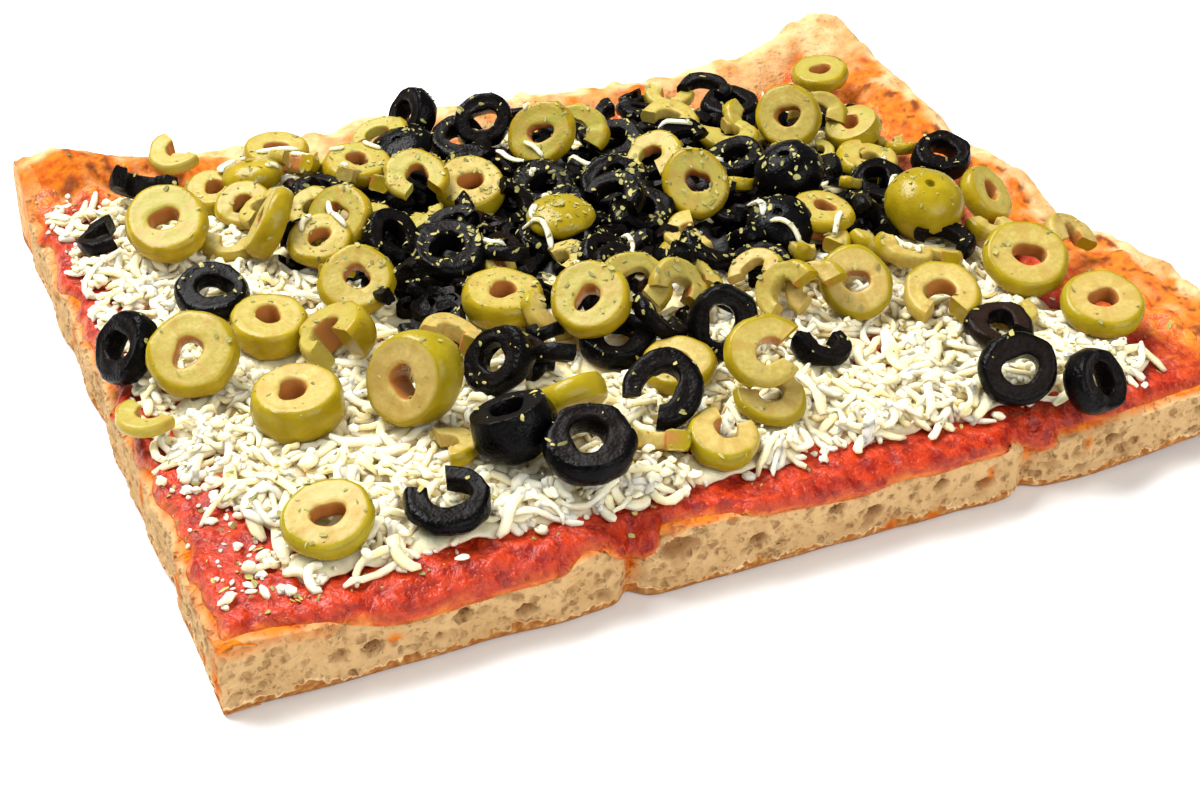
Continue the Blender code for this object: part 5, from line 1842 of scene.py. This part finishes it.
def cheese_grains():
    draw = random.Random(12)
    master, faces = ball_master(2)
    pile = Gathered()
    placed = 0
    while placed < GRAINS:
        x, y = draw.uniform(2, 230), draw.uniform(3, 190)
        size = 0.4 + 0.9 * draw.random() ** 2.5
        here = cell(x, y)
        rim = smooth((231 - x) / 12.0) * smooth((193 - y) / 9.0)
        if draw.random() > grain_cover(x, y) * rim or ceiling[here] < ground[here] + 2 * size + 0.3:
            continue
        if ground[here] < LOWEST_GROUND:
            continue
        squeeze = np.array([draw.uniform(0.8, 1.9), draw.uniform(0.6, 1.1), draw.uniform(0.5, 0.9)])
        spin = Matrix.Rotation(draw.uniform(0, 2 * pi), 3, "Z")
        shape = (master * squeeze * size) @ np.array(spin).T
        shape += np.array((x, y, ground[here] + size * 0.55))
        rough = np.array([noise.noise(Vector(p) / 0.8) for p in shape])
        shape += master * (rough * size * 0.8)[:, None]
        ground[here] += size * 0.8
        tone = np.full(len(shape), 0.4 + 0.6 * draw.random())
        pile.take(shape, faces, {"tone": tone, "blush": np.zeros(len(shape))})
        placed += 1
    return pile.build("cheese_grains", 80)


grains = cheese_grains()
finish_piece(grains, cheese_material, "cheese", "grated_cheese")

# %% [markdown]
# ## Dried herbs
# Oregano was rubbed over everything: small, dry, curled bits of leaf, yellow green to dark green.
# They lie on whatever is on top, thickest over the black olives in the middle. A line dropped
# from above finds the surface, and the flake turns to lie flat on it.

# %% Herbs
FLAKES = 3200


def herb_finish():
    finish = Finish("dried_herb", 0.75)
    tone = finish.attribute("tone")
    leaf = finish.mix(tone, (0.10, 0.105, 0.022), (0.52, 0.46, 0.13))
    grain = finish.noise(0.4, 2.0)
    colour = finish.mix(finish.ramp(grain, 0.3, 0.7, 0.0, 0.4), leaf, (0.30, 0.26, 0.08))
    return finish.finish(colour, finish.bump(grain, 0.1, 0.6))


def herb_cover(x, y):
    middle = exp(-((x - 128) / 66.0) ** 2 - ((y - 118) / 50.0) ** 2)
    left = 0.22 * exp(-((x - 12) / 22.0) ** 2 - ((y - 30) / 45.0) ** 2)
    return 0.07 + 0.93 * middle + left


def herb_flakes(tree):
    draw = random.Random(31)
    master, faces = ball_master(1)
    pile = Gathered()
    placed = 0
    while placed < FLAKES:
        x, y = draw.uniform(2, 240), draw.uniform(4, 198)
        clump = 0.4 + 1.5 * max(0.0, ripple(x, y, 7.0, 51.0))
        if draw.random() > herb_cover(x, y) * clump:
            continue
        spot, normal, _, _ = tree.ray_cast(Vector((x, y, 80.0)), Vector((0, 0, -1)))
        if spot is None or normal.z < 0.15:
            continue
        long = 0.3 + 1.0 * draw.random() ** 1.8
        wide = long * draw.uniform(0.3, 0.75)
        jitter = np.array([draw.uniform(0.65, 1.2) for _ in master])[:, None]
        shape = master * jitter * np.array((long, wide, 0.09))
        shape[:, 2] += draw.uniform(-0.35, 0.35) * shape[:, 0] ** 2 / long
        shape[:, 2] += draw.uniform(-0.5, 0.5) * np.abs(shape[:, 1])
        lie = normal.to_track_quat("Z", "Y").to_matrix()
        tip = Matrix.Rotation(draw.gauss(0, 0.3), 3, "Y")
        tip = tip @ Matrix.Rotation(draw.uniform(0, 6.28), 3, "Z")
        shape = shape @ np.array(lie @ tip).T
        shape += np.array(spot + normal * 0.14)
        tone = np.full(len(shape), draw.random() ** 0.7)
        pile.take(shape, faces, {"tone": tone})
        placed += 1
    return pile.build("herb_flakes", 30)


top_tree = joined_tree(olive_items + [sauce, bed, core, strips, strands, grains, bread])
herbs = herb_flakes(top_tree)
finish_piece(herbs, herb_finish(), "green_olive")

# %% [markdown]
# ## Light and floor
# The photo is bright and almost without shadow: a white surface, light from all round, and one
# large soft source above and a little behind, which draws the gloss on the olives.

# %% Floor, lamps and surroundings
FLOOR_SIZE = 4.0
SURROUND = 0.25


def plain_floor():
    start_fresh()
    bpy.ops.mesh.primitive_plane_add(size=FLOOR_SIZE, location=(0, 0, -0.0005))
    floor = bpy.context.object
    floor.name = "floor"
    material = bpy.data.materials.new("pale_floor")
    material.use_nodes = True
    shader = material.node_tree.nodes["Principled BSDF"]
    shader.inputs["Base Color"].default_value = (0.93, 0.93, 0.92, 1.0)
    shader.inputs["Roughness"].default_value = 0.7
    floor.data.materials.append(material)


def soft_lamp(name, place, size, power, aim=(0, 0, 0.01)):
    start_fresh()
    bpy.ops.object.light_add(type="AREA", location=place)
    lamp = bpy.context.object
    lamp.name = name
    lamp.data.shape = "RECTANGLE"
    lamp.data.size = size[0]
    lamp.data.size_y = size[1]
    lamp.data.energy = power
    way = Vector(aim) - Vector(place)
    lamp.rotation_mode = "QUATERNION"
    lamp.rotation_quaternion = way.to_track_quat("-Z", "Y")


plain_floor()
soft_lamp("window_light", (-0.35, 0.5, 1.1), (1.0, 0.6), 33.0)
soft_lamp("front_fill", (0.25, -1.3, 0.9), (1.4, 1.0), 17.0)
world = bpy.data.worlds.new("white_room")
bpy.context.scene.world = world
world.use_nodes = True
world.node_tree.nodes["Background"].inputs["Color"].default_value = (1.0, 1.0, 1.0, 1.0)
world.node_tree.nodes["Background"].inputs["Strength"].default_value = SURROUND
bpy.context.scene.view_settings.view_transform = "Standard"
bpy.context.scene.view_settings.look = "None"
start_fresh()
